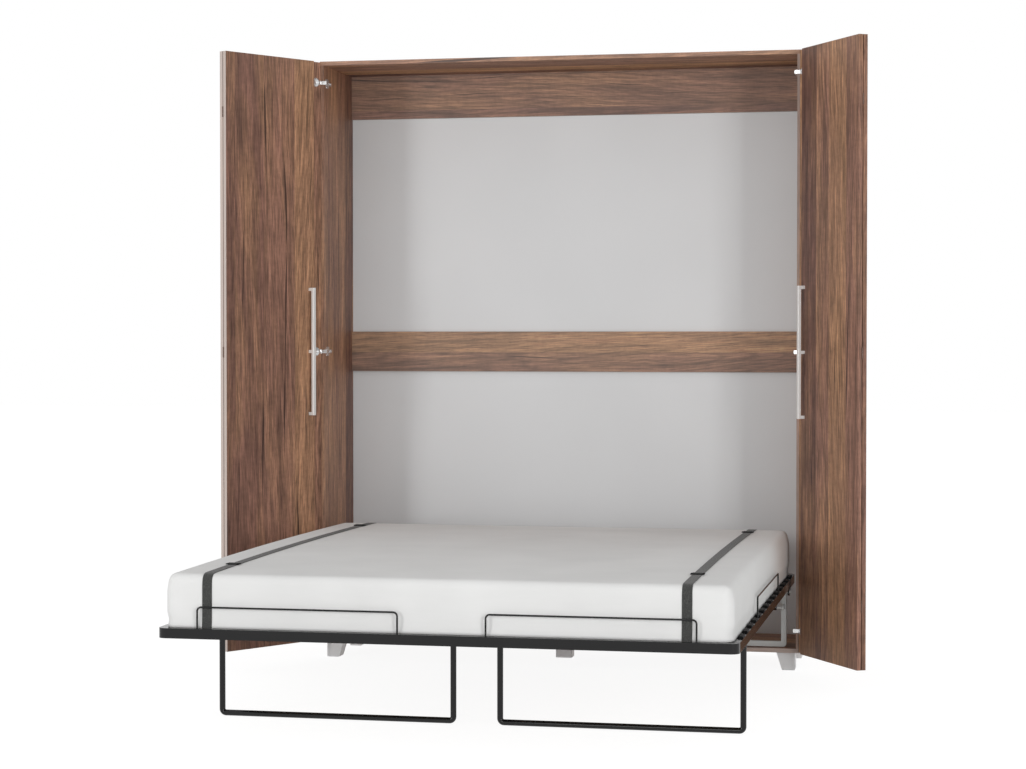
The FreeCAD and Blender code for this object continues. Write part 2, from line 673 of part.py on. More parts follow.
def folding_leg():
    """Bent tube leg with a barrel at each top end."""
    points = [
        Vector(LEG_OUTER_X, LEG_Y, LEG_PIVOT_Z),
        Vector(LEG_OUTER_X, LEG_Y, LEG_TUBE_R),
        Vector(LEG_INNER_X, LEG_Y, LEG_TUBE_R),
        Vector(LEG_INNER_X, LEG_Y, LEG_PIVOT_Z),
    ]
    leg = bent_tube(points, LEG_BEND, LEG_TUBE_R, LEG_TUBE_WALL)
    for x in (LEG_OUTER_X, LEG_INNER_X):
        x0 = x - LEG_BARREL_L / 2
        x1 = x + LEG_BARREL_L / 2
        leg = fused(leg, x_bar(x0, x1, LEG_Y, LEG_PIVOT_Z, LEG_TUBE_R))
        leg = leg.cut(x_bar(x0, x1, LEG_Y, LEG_PIVOT_Z, LEG_PIN_R + RUNNING))
    return leg


def slat_rows():
    return [SLAT_HEAD_Y - SLAT_PITCH * number for number in range(SLAT_COUNT)]


def slat(y):
    """Sprung slat: a strip with a slight upward bow."""
    x0 = BEAM_X + HOLDER_BACK + SLAT_PLAY
    x1 = RAIL_INSIDE_X - HOLDER_BACK - SLAT_PLAY
    middle = (x0 + x1) / 2
    y0 = y - SLAT_W / 2

    def bow(z):
        return Part.Arc(Vector(x0, y0, z), Vector(middle, y0, z + SLAT_CAMBER), Vector(x1, y0, z)).toShape()

    def end(x):
        return Part.LineSegment(Vector(x, y0, SLAT_Z), Vector(x, y0, SLAT_Z + SLAT_T)).toShape()

    outline = Part.Wire(Part.__sortEdges__([bow(SLAT_Z), end(x1), bow(SLAT_Z + SLAT_T), end(x0)]))
    return Part.Face(outline).extrude(Vector(0, SLAT_W, 0))


def slat_pocket(x0, x1, y):
    half = SLAT_W / 2 + SLAT_PLAY
    return box(x0, x1, y - half, y + half, SLAT_Z - SLAT_PLAY, SLAT_Z + SLAT_T + SLAT_PLAY)


def holder_block(x0, y):
    """Body of a slat holder, level with the slats' highest part."""
    half = HOLDER_W / 2
    return box(x0, x0 + HOLDER_L, y - half, y + half, HOLDER_Z, HOLDER_TOP)


def side_holder(y):
    """Plastic holder inside the side rail: a pocket for one slat end, and a lip over the rail to a cap."""
    x0 = RAIL_INSIDE_X - HOLDER_L
    half = HOLDER_W / 2
    cap_x0 = MATTRESS_W / 2 + HOLDER_CAP_GAP
    cap_top = RAIL_TOP + HOLDER_CAP_H
    cap = box(cap_x0, FRAME_X - RAIL_WALL, y - half, y + half, RAIL_TOP, cap_top)
    cap = cap.makeFillet(HOLDER_ROUND, edges_along(cap, Y_AXIS, lambda centre: centre.z > RAIL_TOP))
    lip = box(RAIL_INSIDE_X, cap_x0, y - half, y + half, RAIL_TOP, HOLDER_TOP)
    whole = fused(holder_block(x0, y), lip, cap)
    return whole.cut(slat_pocket(x0, x0 + HOLDER_POCKET, y))


def centre_holder(y):
    """Holder on one side of the centre beam."""
    pocket = slat_pocket(BEAM_X + HOLDER_BACK, BEAM_X + HOLDER_L, y)
    return holder_block(BEAM_X, y).cut(pocket)


def hoop(start, finish):
    """Wire hoop standing on a rail, from one foot to the other."""
    rise = Vector(0, 0, HOOP_H - HOOP_R)
    return bent_bar([start, start + rise, finish + rise, finish], HOOP_BEND, HOOP_R)


def cross_hoops(y):
    one = hoop(Vector(HOOP_INNER_X, y, RAIL_TOP), Vector(HOOP_OUTER_X, y, RAIL_TOP))
    return Part.makeCompound(pair(one))


def side_hoops():
    x = FRAME_X - SIDE_HOOP_FROM_EDGE
    rows = slat_rows()
    beside = HOLDER_W / 2 + SIDE_HOOP_FROM_HOLDER
    near = rows[SIDE_HOOP_LAST_SLAT] - beside
    far = rows[SIDE_HOOP_FIRST_SLAT] + beside
    one = hoop(Vector(x, near, RAIL_TOP), Vector(x, far, RAIL_TOP))
    return Part.makeCompound(pair(one))


# Mattress and straps

def mattress_slab(x0, x1, z0, grow):
    """The mattress's long section, crowned on top and grown outwards, from x0 to x1."""
    front = MATTRESS_FRONT_Y - grow
    head = MATTRESS_HEAD_Y + grow
    edge_z = MATTRESS_Z + MATTRESS_T + grow
    crown = Vector(x0, MATTRESS_MIDDLE_Y, edge_z + MATTRESS_CROWN)
    edges = [
        Part.LineSegment(Vector(x0, front, z0), Vector(x0, front, edge_z)).toShape(),
        Part.Arc(Vector(x0, front, edge_z), crown, Vector(x0, head, edge_z)).toShape(),
        Part.LineSegment(Vector(x0, head, edge_z), Vector(x0, head, z0)).toShape(),
        Part.LineSegment(Vector(x0, head, z0), Vector(x0, front, z0)).toShape(),
    ]
    return Part.Face(Part.Wire(edges)).extrude(Vector(x1 - x0, 0, 0))


def mattress_plan():
    """Outline from above: rounded corners, sides drawn in between them."""
    half = MATTRESS_W / 2
    corners = [
        Vector(-half, MATTRESS_FRONT_Y, MATTRESS_Z),
        Vector(half, MATTRESS_FRONT_Y, MATTRESS_Z),
        Vector(half, MATTRESS_HEAD_Y, MATTRESS_Z),
        Vector(-half, MATTRESS_HEAD_Y, MATTRESS_Z),
    ]
    centre = Vector(0, MATTRESS_MIDDLE_Y, MATTRESS_Z)
    edges = []
    for start, finish in zip(corners, corners[1:] + corners[:1]):
        middle = (start + finish) * 0.5
        inward = (centre - middle).normalize()
        edges.append(Part.Arc(start, middle + inward * MATTRESS_DRAW_IN, finish).toShape())
    height = MATTRESS_T + 2 * MATTRESS_CROWN
    block = Part.Face(Part.Wire(edges)).extrude(Vector(0, 0, height))
    return block.makeFillet(MATTRESS_CORNER_R, edges_along(block, Z_AXIS, lambda c: True))


def mattress():
    half = MATTRESS_W / 2
    body = mattress_plan().common(mattress_slab(-half, half, MATTRESS_Z, 0))
    middle_z = MATTRESS_Z + MATTRESS_T / 2
    body = body.makeFillet(MATTRESS_EDGE_R, [edge for edge in body.Edges if edge.BoundBox.ZMin > middle_z])
    return body.makeFillet(MATTRESS_BOTTOM_R, [edge for edge in body.Edges if edge.BoundBox.ZMax < middle_z])


def strap():
    """Webbing strap over the mattress, from the front rail to the head rail."""
    x0 = STRAP_X - STRAP_W / 2
    x1 = STRAP_X + STRAP_W / 2
    layers = []
    for grow in (SOFT_GAP + STRAP_T, SOFT_GAP):
        slab = mattress_slab(x0, x1, RAIL_TOP + SOFT_GAP, grow)
        top = edges_along(slab, X_AXIS, lambda c: c.z > MATTRESS_Z + MATTRESS_T / 2)
        layers.append(slab.makeFillet(MATTRESS_EDGE_R + grow, top))
    return layers[0].cut(layers[1])


def strap_top(y):
    """Height of the strap's upper face at a place along the bed."""
    half = MATTRESS_L / 2
    radius = (half * half + MATTRESS_CROWN * MATTRESS_CROWN) / (2 * MATTRESS_CROWN)
    drop = radius - math.sqrt(radius * radius - (y - MATTRESS_MIDDLE_Y) ** 2)
    return MATTRESS_Z + MATTRESS_T + MATTRESS_CROWN - drop + SOFT_GAP + STRAP_T


def strap_slider(y):
    """Three-bar slider lying on the strap."""
    z0 = max(strap_top(y - SLIDER_L / 2), strap_top(y + SLIDER_L / 2)) + SOFT_GAP
    half_w = SLIDER_W / 2
    half_l = SLIDER_L / 2
    plate = box(STRAP_X - half_w, STRAP_X + half_w, y - half_l, y + half_l, z0, z0 + SLIDER_T)
    plate = plate.makeFillet(SLIDER_ROUND, edges_along(plate, Z_AXIS, lambda c: True))
    for slot_y in (y - SLIDER_L / 4, y + SLIDER_L / 4):
        slot_x = STRAP_W / 2 + SIDE_PLAY
        y0 = slot_y - SLIDER_SLOT / 2
        plate = plate.cut(box(STRAP_X - slot_x, STRAP_X + slot_x, y0, y0 + SLIDER_SLOT, z0, z0 + SLIDER_T))
    return plate


# Pivot stand and struts

def stand_outline(inset, corner_r):
    """The stand seen from the front, as a band with rounded outer corners, inset from the tube's faces."""
    half = STAND_TUBE / 2 - inset
    depth = STAND_TUBE - 2 * inset
    y0 = STAND_Y - depth / 2
    low = FLOOR_Z + inset
    sole = FLOOR_Z + STAND_TUBE - inset
    outside = box(-STAND_X - half, STAND_X + half, y0, y0 + depth, low, BED_PIVOT_Z)
    corners = edges_along(outside, Y_AXIS, lambda centre: centre.z < sole)
    outside = outside.makeFillet(corner_r, corners)
    return outside.cut(box(-STAND_X + half, STAND_X - half, y0, y0 + depth, sole, BED_PIVOT_Z))


def stand_tube():
    """Square tube on the cabinet's base, turned up at both ends to carry the bed's two pivots."""
    tube = stand_outline(0, STAND_CORNER_R).cut(stand_outline(STAND_WALL, STAND_CORNER_R - STAND_WALL))
    for x in (STAND_X, -STAND_X):
        tube = tube.cut(x_bar(x - STAND_TUBE, x + STAND_TUBE, STAND_Y, BED_PIVOT_Z, BOSS_R))
    return tube


def pivot_boss():
    x0 = STAND_X - BOSS_L / 2
    x1 = STAND_X + BOSS_L / 2
    boss = x_bar(x0, x1, STAND_Y, BED_PIVOT_Z, BOSS_R)
    return boss.cut(x_bar(x0, x1, STAND_Y, BED_PIVOT_Z, PIVOT_PIN_R + SEAT))


def pivot_pin():
    """Headed pin through the boss and the bed's pivot plate, with its nut."""
    inner = STAND_X - BOSS_L / 2
    outer = PIVOT_PLATE_X + PIVOT_PLATE_T + SIDE_PLAY
    shank = x_bar(inner, outer, STAND_Y, BED_PIVOT_Z, PIVOT_PIN_R)
    head = x_bar(inner - PIVOT_HEAD_T, inner, STAND_Y, BED_PIVOT_Z, PIVOT_HEAD_R)
    nut = x_bar(outer, outer + PIVOT_HEAD_T, STAND_Y, BED_PIVOT_Z, PIVOT_HEAD_R)
    return fused(shank, head, nut)


def pivot_washer():
    x0 = STAND_X + BOSS_L / 2
    x1 = x0 + PIVOT_WASHER_T
    washer = x_bar(x0, x1, STAND_Y, BED_PIVOT_Z, PIVOT_HEAD_R)
    return washer.cut(x_bar(x0, x1, STAND_Y, BED_PIVOT_Z, PIVOT_PIN_R + RUNNING))


def stand_clip(x):
    """Saddle that holds the stand's low tube down on the base."""
    x0 = x - CLIP_W / 2
    x1 = x + CLIP_W / 2
    inner = STAND_TUBE / 2 + SEAT
    outer = inner + CLIP_T
    top = FLOOR_Z + STAND_TUBE + SEAT
    hat = box(x0, x1, STAND_Y - outer, STAND_Y + outer, FLOOR_Z, top + CLIP_T)
    hat = hat.makeFillet(CLIP_T, edges_along(hat, X_AXIS, lambda centre: centre.z > top))
    reach = outer + CLIP_FLANGE
    flange = box(x0, x1, STAND_Y - reach, STAND_Y + reach, FLOOR_Z, FLOOR_Z + CLIP_T)
    tunnel = box(x0, x1, STAND_Y - inner, STAND_Y + inner, FLOOR_Z, top)
    return fused(hat, flange).cut(tunnel)


def strut_tilt():
    """Degrees about x that turn an upright strut into its place with the bed down."""
    run = STRUT_LUG - STRUT_FOOT
    return math.degrees(math.atan2(-run.y, run.z))


def strut_length():
    return (STRUT_LUG - STRUT_FOOT).Length


def placed_strut(shape):
    """From upright with its foot at the origin to its place."""
    moved = shape.copy()
    moved.rotate(ORIGIN, X_AXIS, strut_tilt())
    moved.translate(Vector(STRUT_X, STRUT_FOOT.y, STRUT_FOOT.z))
    return moved


def strut_cylinder():
    half = STRUT_EYE_W / 2
    eye = x_bar(-half, half, 0, 0, STRUT_EYE_R)
    body = z_bar(0, 0, STRUT_EYE_R - STRUT_NECK, STRUT_BODY_L, STRUT_BODY_R)
    whole = fused(eye, body).cut(x_bar(-STRUT_BODY_R, STRUT_BODY_R, 0, 0, STUD_R + RUNNING))
    bore = z_bar(0, 0, STRUT_ROD_START - SIDE_PLAY, STRUT_BODY_L, STRUT_ROD_R + RUNNING)
    return placed_strut(whole.cut(bore))


def strut_rod():
    """Rod with a fork and its cross pin."""
    length = strut_length()
    throat = length - FORK_THROAT
    rod = z_bar(0, 0, STRUT_ROD_START, throat, STRUT_ROD_R)
    base = z_bar(0, 0, throat - FORK_CHEEK_T, throat, FORK_R)
    inner = LUG_T / 2 + SIDE_PLAY
    pieces = [base]
    for x0 in (inner, -inner - FORK_CHEEK_T):
        web = box(x0, x0 + FORK_CHEEK_T, -FORK_R, FORK_R, throat - FORK_CHEEK_T, length)
        eye = x_bar(x0, x0 + FORK_CHEEK_T, 0, length, FORK_R)
        pieces += [web, eye]
    reach = inner + FORK_CHEEK_T + SIDE_PLAY
    pieces.append(x_bar(-reach, reach, 0, length, FORK_PIN_R))
    return placed_strut(fused(rod, *pieces))


def strut_anchor():
    """Plate on the stand's upright with the stud that the strut's foot turns on."""
    x0 = STAND_X - STUD_PLATE_T / 2
    x1 = STAND_X + STUD_PLATE_T / 2
    eye_r = 2 * STUD_R
    web = box(x0, x1, STRUT_FOOT.y, STAND_Y - STAND_TUBE / 2, STRUT_FOOT.z - eye_r, STRUT_FOOT.z + eye_r)
    eye = x_bar(x0, x1, STRUT_FOOT.y, STRUT_FOOT.z, eye_r)
    stud = x_bar(STRUT_X - STRUT_EYE_W, x0, STRUT_FOOT.y, STRUT_FOOT.z, STUD_R)
    return fused(web, eye, stud)


def lug_slot_end():
    """Where the fork pin stands in the bed's frame at half travel, against its place at rest.

    Rod and cylinder follow the bed by constant ratios, which take the pin this far off the true circle.
    """
    pivot = Vector(0, STAND_Y, BED_PIVOT_Z)
    up = FreeCAD.Rotation(X_AXIS, BED_DOWN_DEG - BED_UP_DEG)
    half_up = FreeCAD.Rotation(X_AXIS, (BED_DOWN_DEG - BED_UP_DEG) / 2)
    low_run = STRUT_LUG - STRUT_FOOT
    high_run = pivot + up.multVec(STRUT_LUG - pivot) - STRUT_FOOT
    length = (low_run.Length + high_run.Length) / 2
    angle = (math.atan2(low_run.z, low_run.y) + math.atan2(high_run.z, high_run.y)) / 2
    pin = STRUT_FOOT + Vector(0, math.cos(angle), math.sin(angle)) * length
    in_bed = pivot + half_up.inverted().multVec(pin - pivot)
    return in_bed - STRUT_LUG


def strut_lug():
    """Plate under the lift cross tube with the slot that the fork pin rides in."""
    x0 = STRUT_X - LUG_T / 2
    x1 = STRUT_X + LUG_T / 2
    travel = lug_slot_end()
    slot_r = FORK_PIN_R + LUG_SLOT_PLAY
    finish = STRUT_LUG + travel
    across = Vector(0, -travel.z, travel.y).normalize() * slot_r
    start = Vector(x0, STRUT_LUG.y, STRUT_LUG.z)
    stop = Vector(x0, finish.y, finish.z)
    sides = prism([start + across, stop + across, stop - across, start - across], Vector(LUG_T, 0, 0))
    slot = fused(
        sides,
        x_bar(x0, x1, STRUT_LUG.y, STRUT_LUG.z, slot_r),
        x_bar(x0, x1, finish.y, finish.z, slot_r),
    )
    low_y = min(STRUT_LUG.y, finish.y) - slot_r - LUG_MARGIN
    high_y = max(STRUT_LUG.y, finish.y) + slot_r + LUG_MARGIN / 2
    plate = box(x0, x1, low_y, high_y, finish.z - slot_r - LUG_MARGIN, RAIL_Z)
    return plate.cut(slot)


def bed_nodes():
    right_rail = y_tube(RAIL_INSIDE_X, FRAME_FRONT_INSIDE_Y, FRAME_HEAD_INSIDE_Y)
    slats = []
    side_holders = []
    centre_holders = []
    for y in slat_rows():
        slats += pair(slat(y))
        side_holders += pair(side_holder(y))
        centre_holders += pair(centre_holder(y))
    brackets = []
    pins = []
    for x in (LEG_OUTER_X, LEG_INNER_X):
        pins += pair(leg_pin(x))
        for cheek in leg_bracket(x):
            brackets += pair(cheek)
    sliders = pair(strap_slider(SLIDER_FRONT_Y)) + pair(strap_slider(SLIDER_HEAD_Y))
    return {
        "front_rail": end_rail(FRAME_FRONT_Y, FRAME_FRONT_Y),
        "head_rail": end_rail(FRAME_HEAD_INSIDE_Y, FRAME_HEAD_Y),
        "right_side_rail": right_rail,
        "left_side_rail": mirrored(right_rail),
        "centre_beam": y_tube(-BEAM_X, FRAME_FRONT_INSIDE_Y, FRAME_HEAD_INSIDE_Y),
        "cross_tubes": cross_tubes(),
        "pivot_plates": Part.makeCompound(pair(pivot_plate())),
        "leg_brackets": Part.makeCompound(brackets),
        "leg_pins": Part.makeCompound(pins),
        "strut_lugs": Part.makeCompound(pair(strut_lug())),
        "slats": Part.makeCompound(slats),
        "side_slat_holders": Part.makeCompound(side_holders),
        "centre_slat_holders": Part.makeCompound(centre_holders),
        "front_hoops": cross_hoops(HOOP_FRONT_Y),
        "head_hoops": cross_hoops(HOOP_HEAD_Y),
        "side_hoops": side_hoops(),
        "mattress": mattress(),
        "straps": Part.makeCompound(pair(strap())),
        "strap_sliders": Part.makeCompound(sliders),
        "right_folding_leg": folding_leg(),
        "left_folding_leg": mirrored(folding_leg()),
    }


def stand_nodes():
    clips = [stand_clip(0), stand_clip(CLIP_SPACING), stand_clip(-CLIP_SPACING)]
    return {
        "stand_tube": stand_tube(),
        "stand_bosses": Part.makeCompound(pair(pivot_boss())),
        "stand_clips": Part.makeCompound(clips),
        "pivot_pins": Part.makeCompound(pair(pivot_pin())),
        "pivot_washers": Part.makeCompound(pair(pivot_washer())),
        "strut_anchors": Part.makeCompound(pair(strut_anchor())),
        "right_strut_cylinder": strut_cylinder(),
        "left_strut_cylinder": mirrored(strut_cylinder()),
        "right_strut_rod": strut_rod(),
        "left_strut_rod": mirrored(strut_rod()),
    }


def all_nodes():
    nodes = cabinet_panels()
    for hole in top_panel_screw_holes():
        nodes["top_panel"] = nodes["top_panel"].cut(hole)
    nodes["corner_feet"] = corner_feet()
    nodes["centre_foot"] = centre_foot()
    nodes["wall_brackets"] = Part.makeCompound(pair(wall_bracket()))
    nodes["bracket_screws"] = bracket_screws()
    nodes.update(door_nodes())
    nodes.update(stand_nodes())
    nodes.update(bed_nodes())
    return nodes


def main():
    os.makedirs("parts", exist_ok=True)
    for name, shape in all_nodes().items():
        shape.translate(Vector(0, -ORIGIN_Y, 0))
        shape.exportStep("parts/" + name + ".step")


main()
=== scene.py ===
"""Looks for the wall bed: materials for the solids, a mattress cover, straps, hinge screws and the studio.

Everything is in metres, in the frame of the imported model: x across, y towards the wall, z up from the floor.
"""
import math
import bmesh
import bpy
from mathutils import Matrix, Vector, noise
from mathutils.bvhtree import BVHTree


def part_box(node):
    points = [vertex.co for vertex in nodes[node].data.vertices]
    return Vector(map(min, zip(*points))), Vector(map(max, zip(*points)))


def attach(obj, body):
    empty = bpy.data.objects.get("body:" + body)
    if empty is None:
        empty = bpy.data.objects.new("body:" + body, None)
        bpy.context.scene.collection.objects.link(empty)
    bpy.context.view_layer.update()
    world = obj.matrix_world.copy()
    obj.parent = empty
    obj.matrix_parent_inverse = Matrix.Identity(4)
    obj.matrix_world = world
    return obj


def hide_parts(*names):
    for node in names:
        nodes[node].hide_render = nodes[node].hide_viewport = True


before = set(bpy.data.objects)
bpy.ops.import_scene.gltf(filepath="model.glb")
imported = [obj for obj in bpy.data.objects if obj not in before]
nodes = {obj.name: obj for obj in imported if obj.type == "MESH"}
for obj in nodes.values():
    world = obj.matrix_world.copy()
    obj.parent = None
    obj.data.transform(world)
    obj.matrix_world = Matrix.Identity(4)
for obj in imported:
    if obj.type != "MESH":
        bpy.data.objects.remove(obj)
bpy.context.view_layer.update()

# Camera, fitted to the photograph's 1026 x 769 frame
IMAGE_W = 1026
FOCAL_PX = 2265.3
SENSOR_W = 36.0
CAMERA_PLACE = Vector((1.6338, -7.9155, 1.2868))
CAMERA_YAW = 0.20520
CAMERA_PITCH = 0.02226
CLIP_END = 100

# Wood-grain board: features per metre across and along the grain, and by the board's seed
STAVES_PER_METRE = 7.5
STAVE_START = 5.3
STAVE_SHIFT = 7.0
STRIP_RANDOM = 0.7
GRAIN_SLANT = 0.10
SLOW_BENDS = (2.6, 1.1, 1.0)
SLOW_WANDER = 0.040
QUICK_BENDS = (11.0, 5.0, 1.0)
QUICK_WANDER = 0.006
MOTTLE = (8.0, 1.4, 1.0)
RINGS = (7.0, 0.8, 1.0)
RING_LINES = 15.0
# Grain layers, each with the greys that darken and lighten the colour
GRAIN_LAYERS = (
    ((26.0, 1.1, 1.0), 0.37, 0.61),
    ((90.0, 3.2, 1.0), 0.35, 0.64),
    ((260.0, 12.0, 1.0), 0.30, 0.70),
    ((30.0, 60.0, 1.0), 0.46, 0.54),
)
PORES = (330.0, 20.0, 1.0)
FIBRE = (640.0, 11.0, 1.0)
KNOTS = (4.2, 1.7, 1.9)
KNOT_LEVEL = 0.6
# Splits: lines per metre, where they start, and their lean
SPLIT_SETS = ((5.0, 3.7, 0.9), (8.0, 8.9, 0.2))
SPLITS_ALONG = 1.7
SPLIT_LEVEL = 0.54
SPLIT_WIDTH = 0.032
SPLIT_EDGE = 0.0012
# Screen colours of the board
STAVE_DARK = (105, 74, 63)
STAVE_RED = (136, 99, 84)
STAVE_MIDDLE = (150, 111, 89)
STAVE_TAN = (186, 142, 104)
PORE_BROWN = (78, 53, 43)
SPLIT_BROWN = (52, 35, 30)
KNOT_BROWN = (62, 41, 33)
GREY_MIX_TONE = (130, 120, 114)
# Edge band colour: real banding, and on the left door leaves also a painted sheen
EDGE_BAND_AND_SHEEN = (212, 198, 190)

# Threads per metre
KNIT_WALES = 260
KNIT_COURSES = 310
STRAP_WARP = 520
STRAP_WEFT = 330
STRAP_SLANT = 260

# Mattress cover: its grid, its simulation and its creases
COVER_CELL = 0.016
COVER_SLACK = 0.005
COVER_PRESSURE = 4.0
COVER_FRAMES = 20
COVER_QUALITY = 4
EVEN_COARSE = 3
EVEN_FINE = 2
STRAP_FADE = 0.075
WAVE_HEIGHT = 0.0012
WAVES_ACROSS = 2.6
WAVES_ALONG = 2.1
WAVE_SLICE = 3.0
PLEAT_HEIGHT = 0.0016
PLEATS_AROUND = 17.0
PLEATS_UP = 3.0
PLEAT_SLICE = 8.0
PLEAT_EVEN = 0.35
PLEAT_CORNER = 1.2
PLEAT_REACH = 0.2
CORNER_REACH = 0.13
RELIEF_LIMIT = 0.004

# Mattress cover: the fuller long sides and the square rim that rests on the rails
SIDE_BULGE = 0.006
BULGE_START = 0.012
BULGE_FULL = 0.050
BULGE_TOP = 0.025
RIM_H = 0.012
RIM_FADE = 0.030
RIM_CLEAR = 0.0006
RIM_DEPTH = 0.020
PLAN_R = 0.032
PLAN_LEVEL = 0.05
NEARLY = 0.999

# Straps and their sliders
STRAP_X = 0.760
STRAP_W = 0.032
STRAP_T = 0.002
STRAP_STEP = 0.008
STRAP_LIFT = 0.0004
STRAP_BEVEL = 0.35
STRAP_REACH = 0.03
STRAP_SWEEPS = 4
EDGE_R = 0.030
EDGE_TURNS = 10
RAIL_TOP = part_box("front_rail")[1].z
SLIDER_W = 0.045
SLIDER_L = 0.026
SLIDER_T = 0.0035
SLIDER_BAR = 0.0045
SLIDER_ROUND = 0.3
LOOP_W = STRAP_W * 0.97
LOOP_T = STRAP_T * 0.8
LOOP_REACH = SLIDER_L * 0.32
LOOP_STEPS = 12

# Small screws on the hinges
SCREW_R = 0.0032
SCREW_TOP_R = SCREW_R * 0.86
SCREW_H = 0.0011
SCREW_SIDES = 16
RECESS_W = 0.0008
RECESS_L = 0.0019
RECESS_DEPTH = 0.0006
RECESS_TAPER = 0.7
HINGE_PLATE_H = 0.036
ARM_SCREWS = (0.036, 0.056)

# The open doors stand at this angle from the cabinet's front
DOOR_ANGLE = math.radians(121.5)
LEAF_RUN = Vector((math.cos(DOOR_ANGLE), math.sin(DOOR_ANGLE), 0))

# Studio: floor, world, and lamps by name, place, aim, width, height and watts
FLOOR_HALF = 30.0
FLOOR_GLOW = 1.17
GLOW_SHARE = 0.78
WORLD_LIGHT = 0.57
LAMPS = (
    ("key", (0.1, -8.4, 2.2), (0, 0, 0.9), 3.0, 1.2, 62),
    ("left_fill", (-4.6, -5.6, 1.6), (0, 0.2, 0.9), 1.0, 3.0, 108),
    ("right_fill", (4.8, -5.4, 1.6), (0, 0.2, 0.9), 1.0, 3.0, 118),
)


def srgb(red, green, blue):
    """A colour written as 0 to 255 screen values, as the linear colour that a shader takes."""
    def linear(value):
        part = value / 255
        return part / 12.92 if part <= 0.04045 else ((part + 0.055) / 1.055) ** 2.4
    return (linear(red), linear(green), linear(blue), 1.0)


def smoothstep(value):
    value = min(1.0, max(0.0, value))
    return value * value * (3 - 2 * value)


class Shader:
    """A material's node tree, with short calls for the nodes that the materials here share."""

    def __init__(self, name):
        self.material = bpy.data.materials.new(name)
        self.material.use_nodes = True
        self.tree = self.material.node_tree
        self.surface = self.tree.nodes["Principled BSDF"]
        self.coords = self.add("ShaderNodeTexCoord")

    def add(self, kind, inputs=None, **settings):
        made = self.tree.nodes.new(kind)
        for key, value in settings.items():
            setattr(made, key, value)
        for key, value in (inputs or {}).items():
            if hasattr(value, "is_output"):
                self.tree.links.new(value, made.inputs[key])
            else:
                made.inputs[key].default_value = value
        return made

    def set(self, **values):
        """Shader sockets by name, with _ for a space: a number, a colour or another node's output."""
        for key, value in values.items():
            socket = self.surface.inputs[key.replace("_", " ")]
            if hasattr(value, "is_output"):
                self.tree.links.new(value, socket)
            else:
                socket.default_value = value

    def noise(self, scale, detail=3.0, roughness=0.55, vector=None):
        """Noise with its own scale along each axis, in features per metre."""
        source = vector or self.coords.outputs["Object"]
        mapped = self.add("ShaderNodeMapping", {"Vector": source, "Scale": scale})
        made = self.add("ShaderNodeTexNoise", {
            "Vector": mapped.outputs["Vector"], "Scale": 1.0, "Detail": detail, "Roughness": roughness})
        return made.outputs["Fac"]

    def ramp(self, value, stops):
        """Colours or greys along a 0 to 1 value."""
        made = self.add("ShaderNodeValToRGB", {"Fac": value})
        elements = made.color_ramp.elements
        while len(elements) < len(stops):
            elements.new(0.5)
        for element, (place, colour) in zip(elements, stops):
            element.position = place
            element.color = colour if hasattr(colour, "__len__") else (colour, colour, colour, 1.0)
        return made.outputs["Color"]

    def math(self, operation, first, second=0.0):
        made = self.add("ShaderNodeMath", operation=operation)
        for socket, value in zip(made.inputs, (first, second)):
            if hasattr(value, "is_output"):
                self.tree.links.new(value, socket)
            else:
                socket.default_value = value
        return made.outputs["Value"]

    def mix(self, factor, first, second, blend="MIX"):
        made = self.add("ShaderNodeMix", data_type="RGBA", blend_type=blend)
        for index, value in ((0, factor), (6, first), (7, second)):
            if hasattr(value, "is_output"):
                self.tree.links.new(value, made.inputs[index])
            else:
                made.inputs[index].default_value = value
        return made.outputs[2]

    def facing(self, direction):
        """1 on faces that look along a direction or against it, in the object's own axes."""
        dot = self.add("ShaderNodeVectorMath", {0: self.coords.outputs["Normal"], 1: direction},
                       operation="DOT_PRODUCT")
        size = self.math("ABSOLUTE", dot.outputs["Value"])
        return self.math("GREATER_THAN", size, 0.9)

    def bump(self, height, strength, distance, edge=0.0):
        """Relief from a height value, with edges rounded to a radius for the light alone."""
        inputs = {"Height": height, "Strength": strength, "Distance": distance}
        if edge:
            inputs["Normal"] = self.add("ShaderNodeBevel", {"Radius": edge}, samples=4).outputs["Normal"]
        self.set(Normal=self.add("ShaderNodeBump", inputs).outputs["Normal"])


# Materials

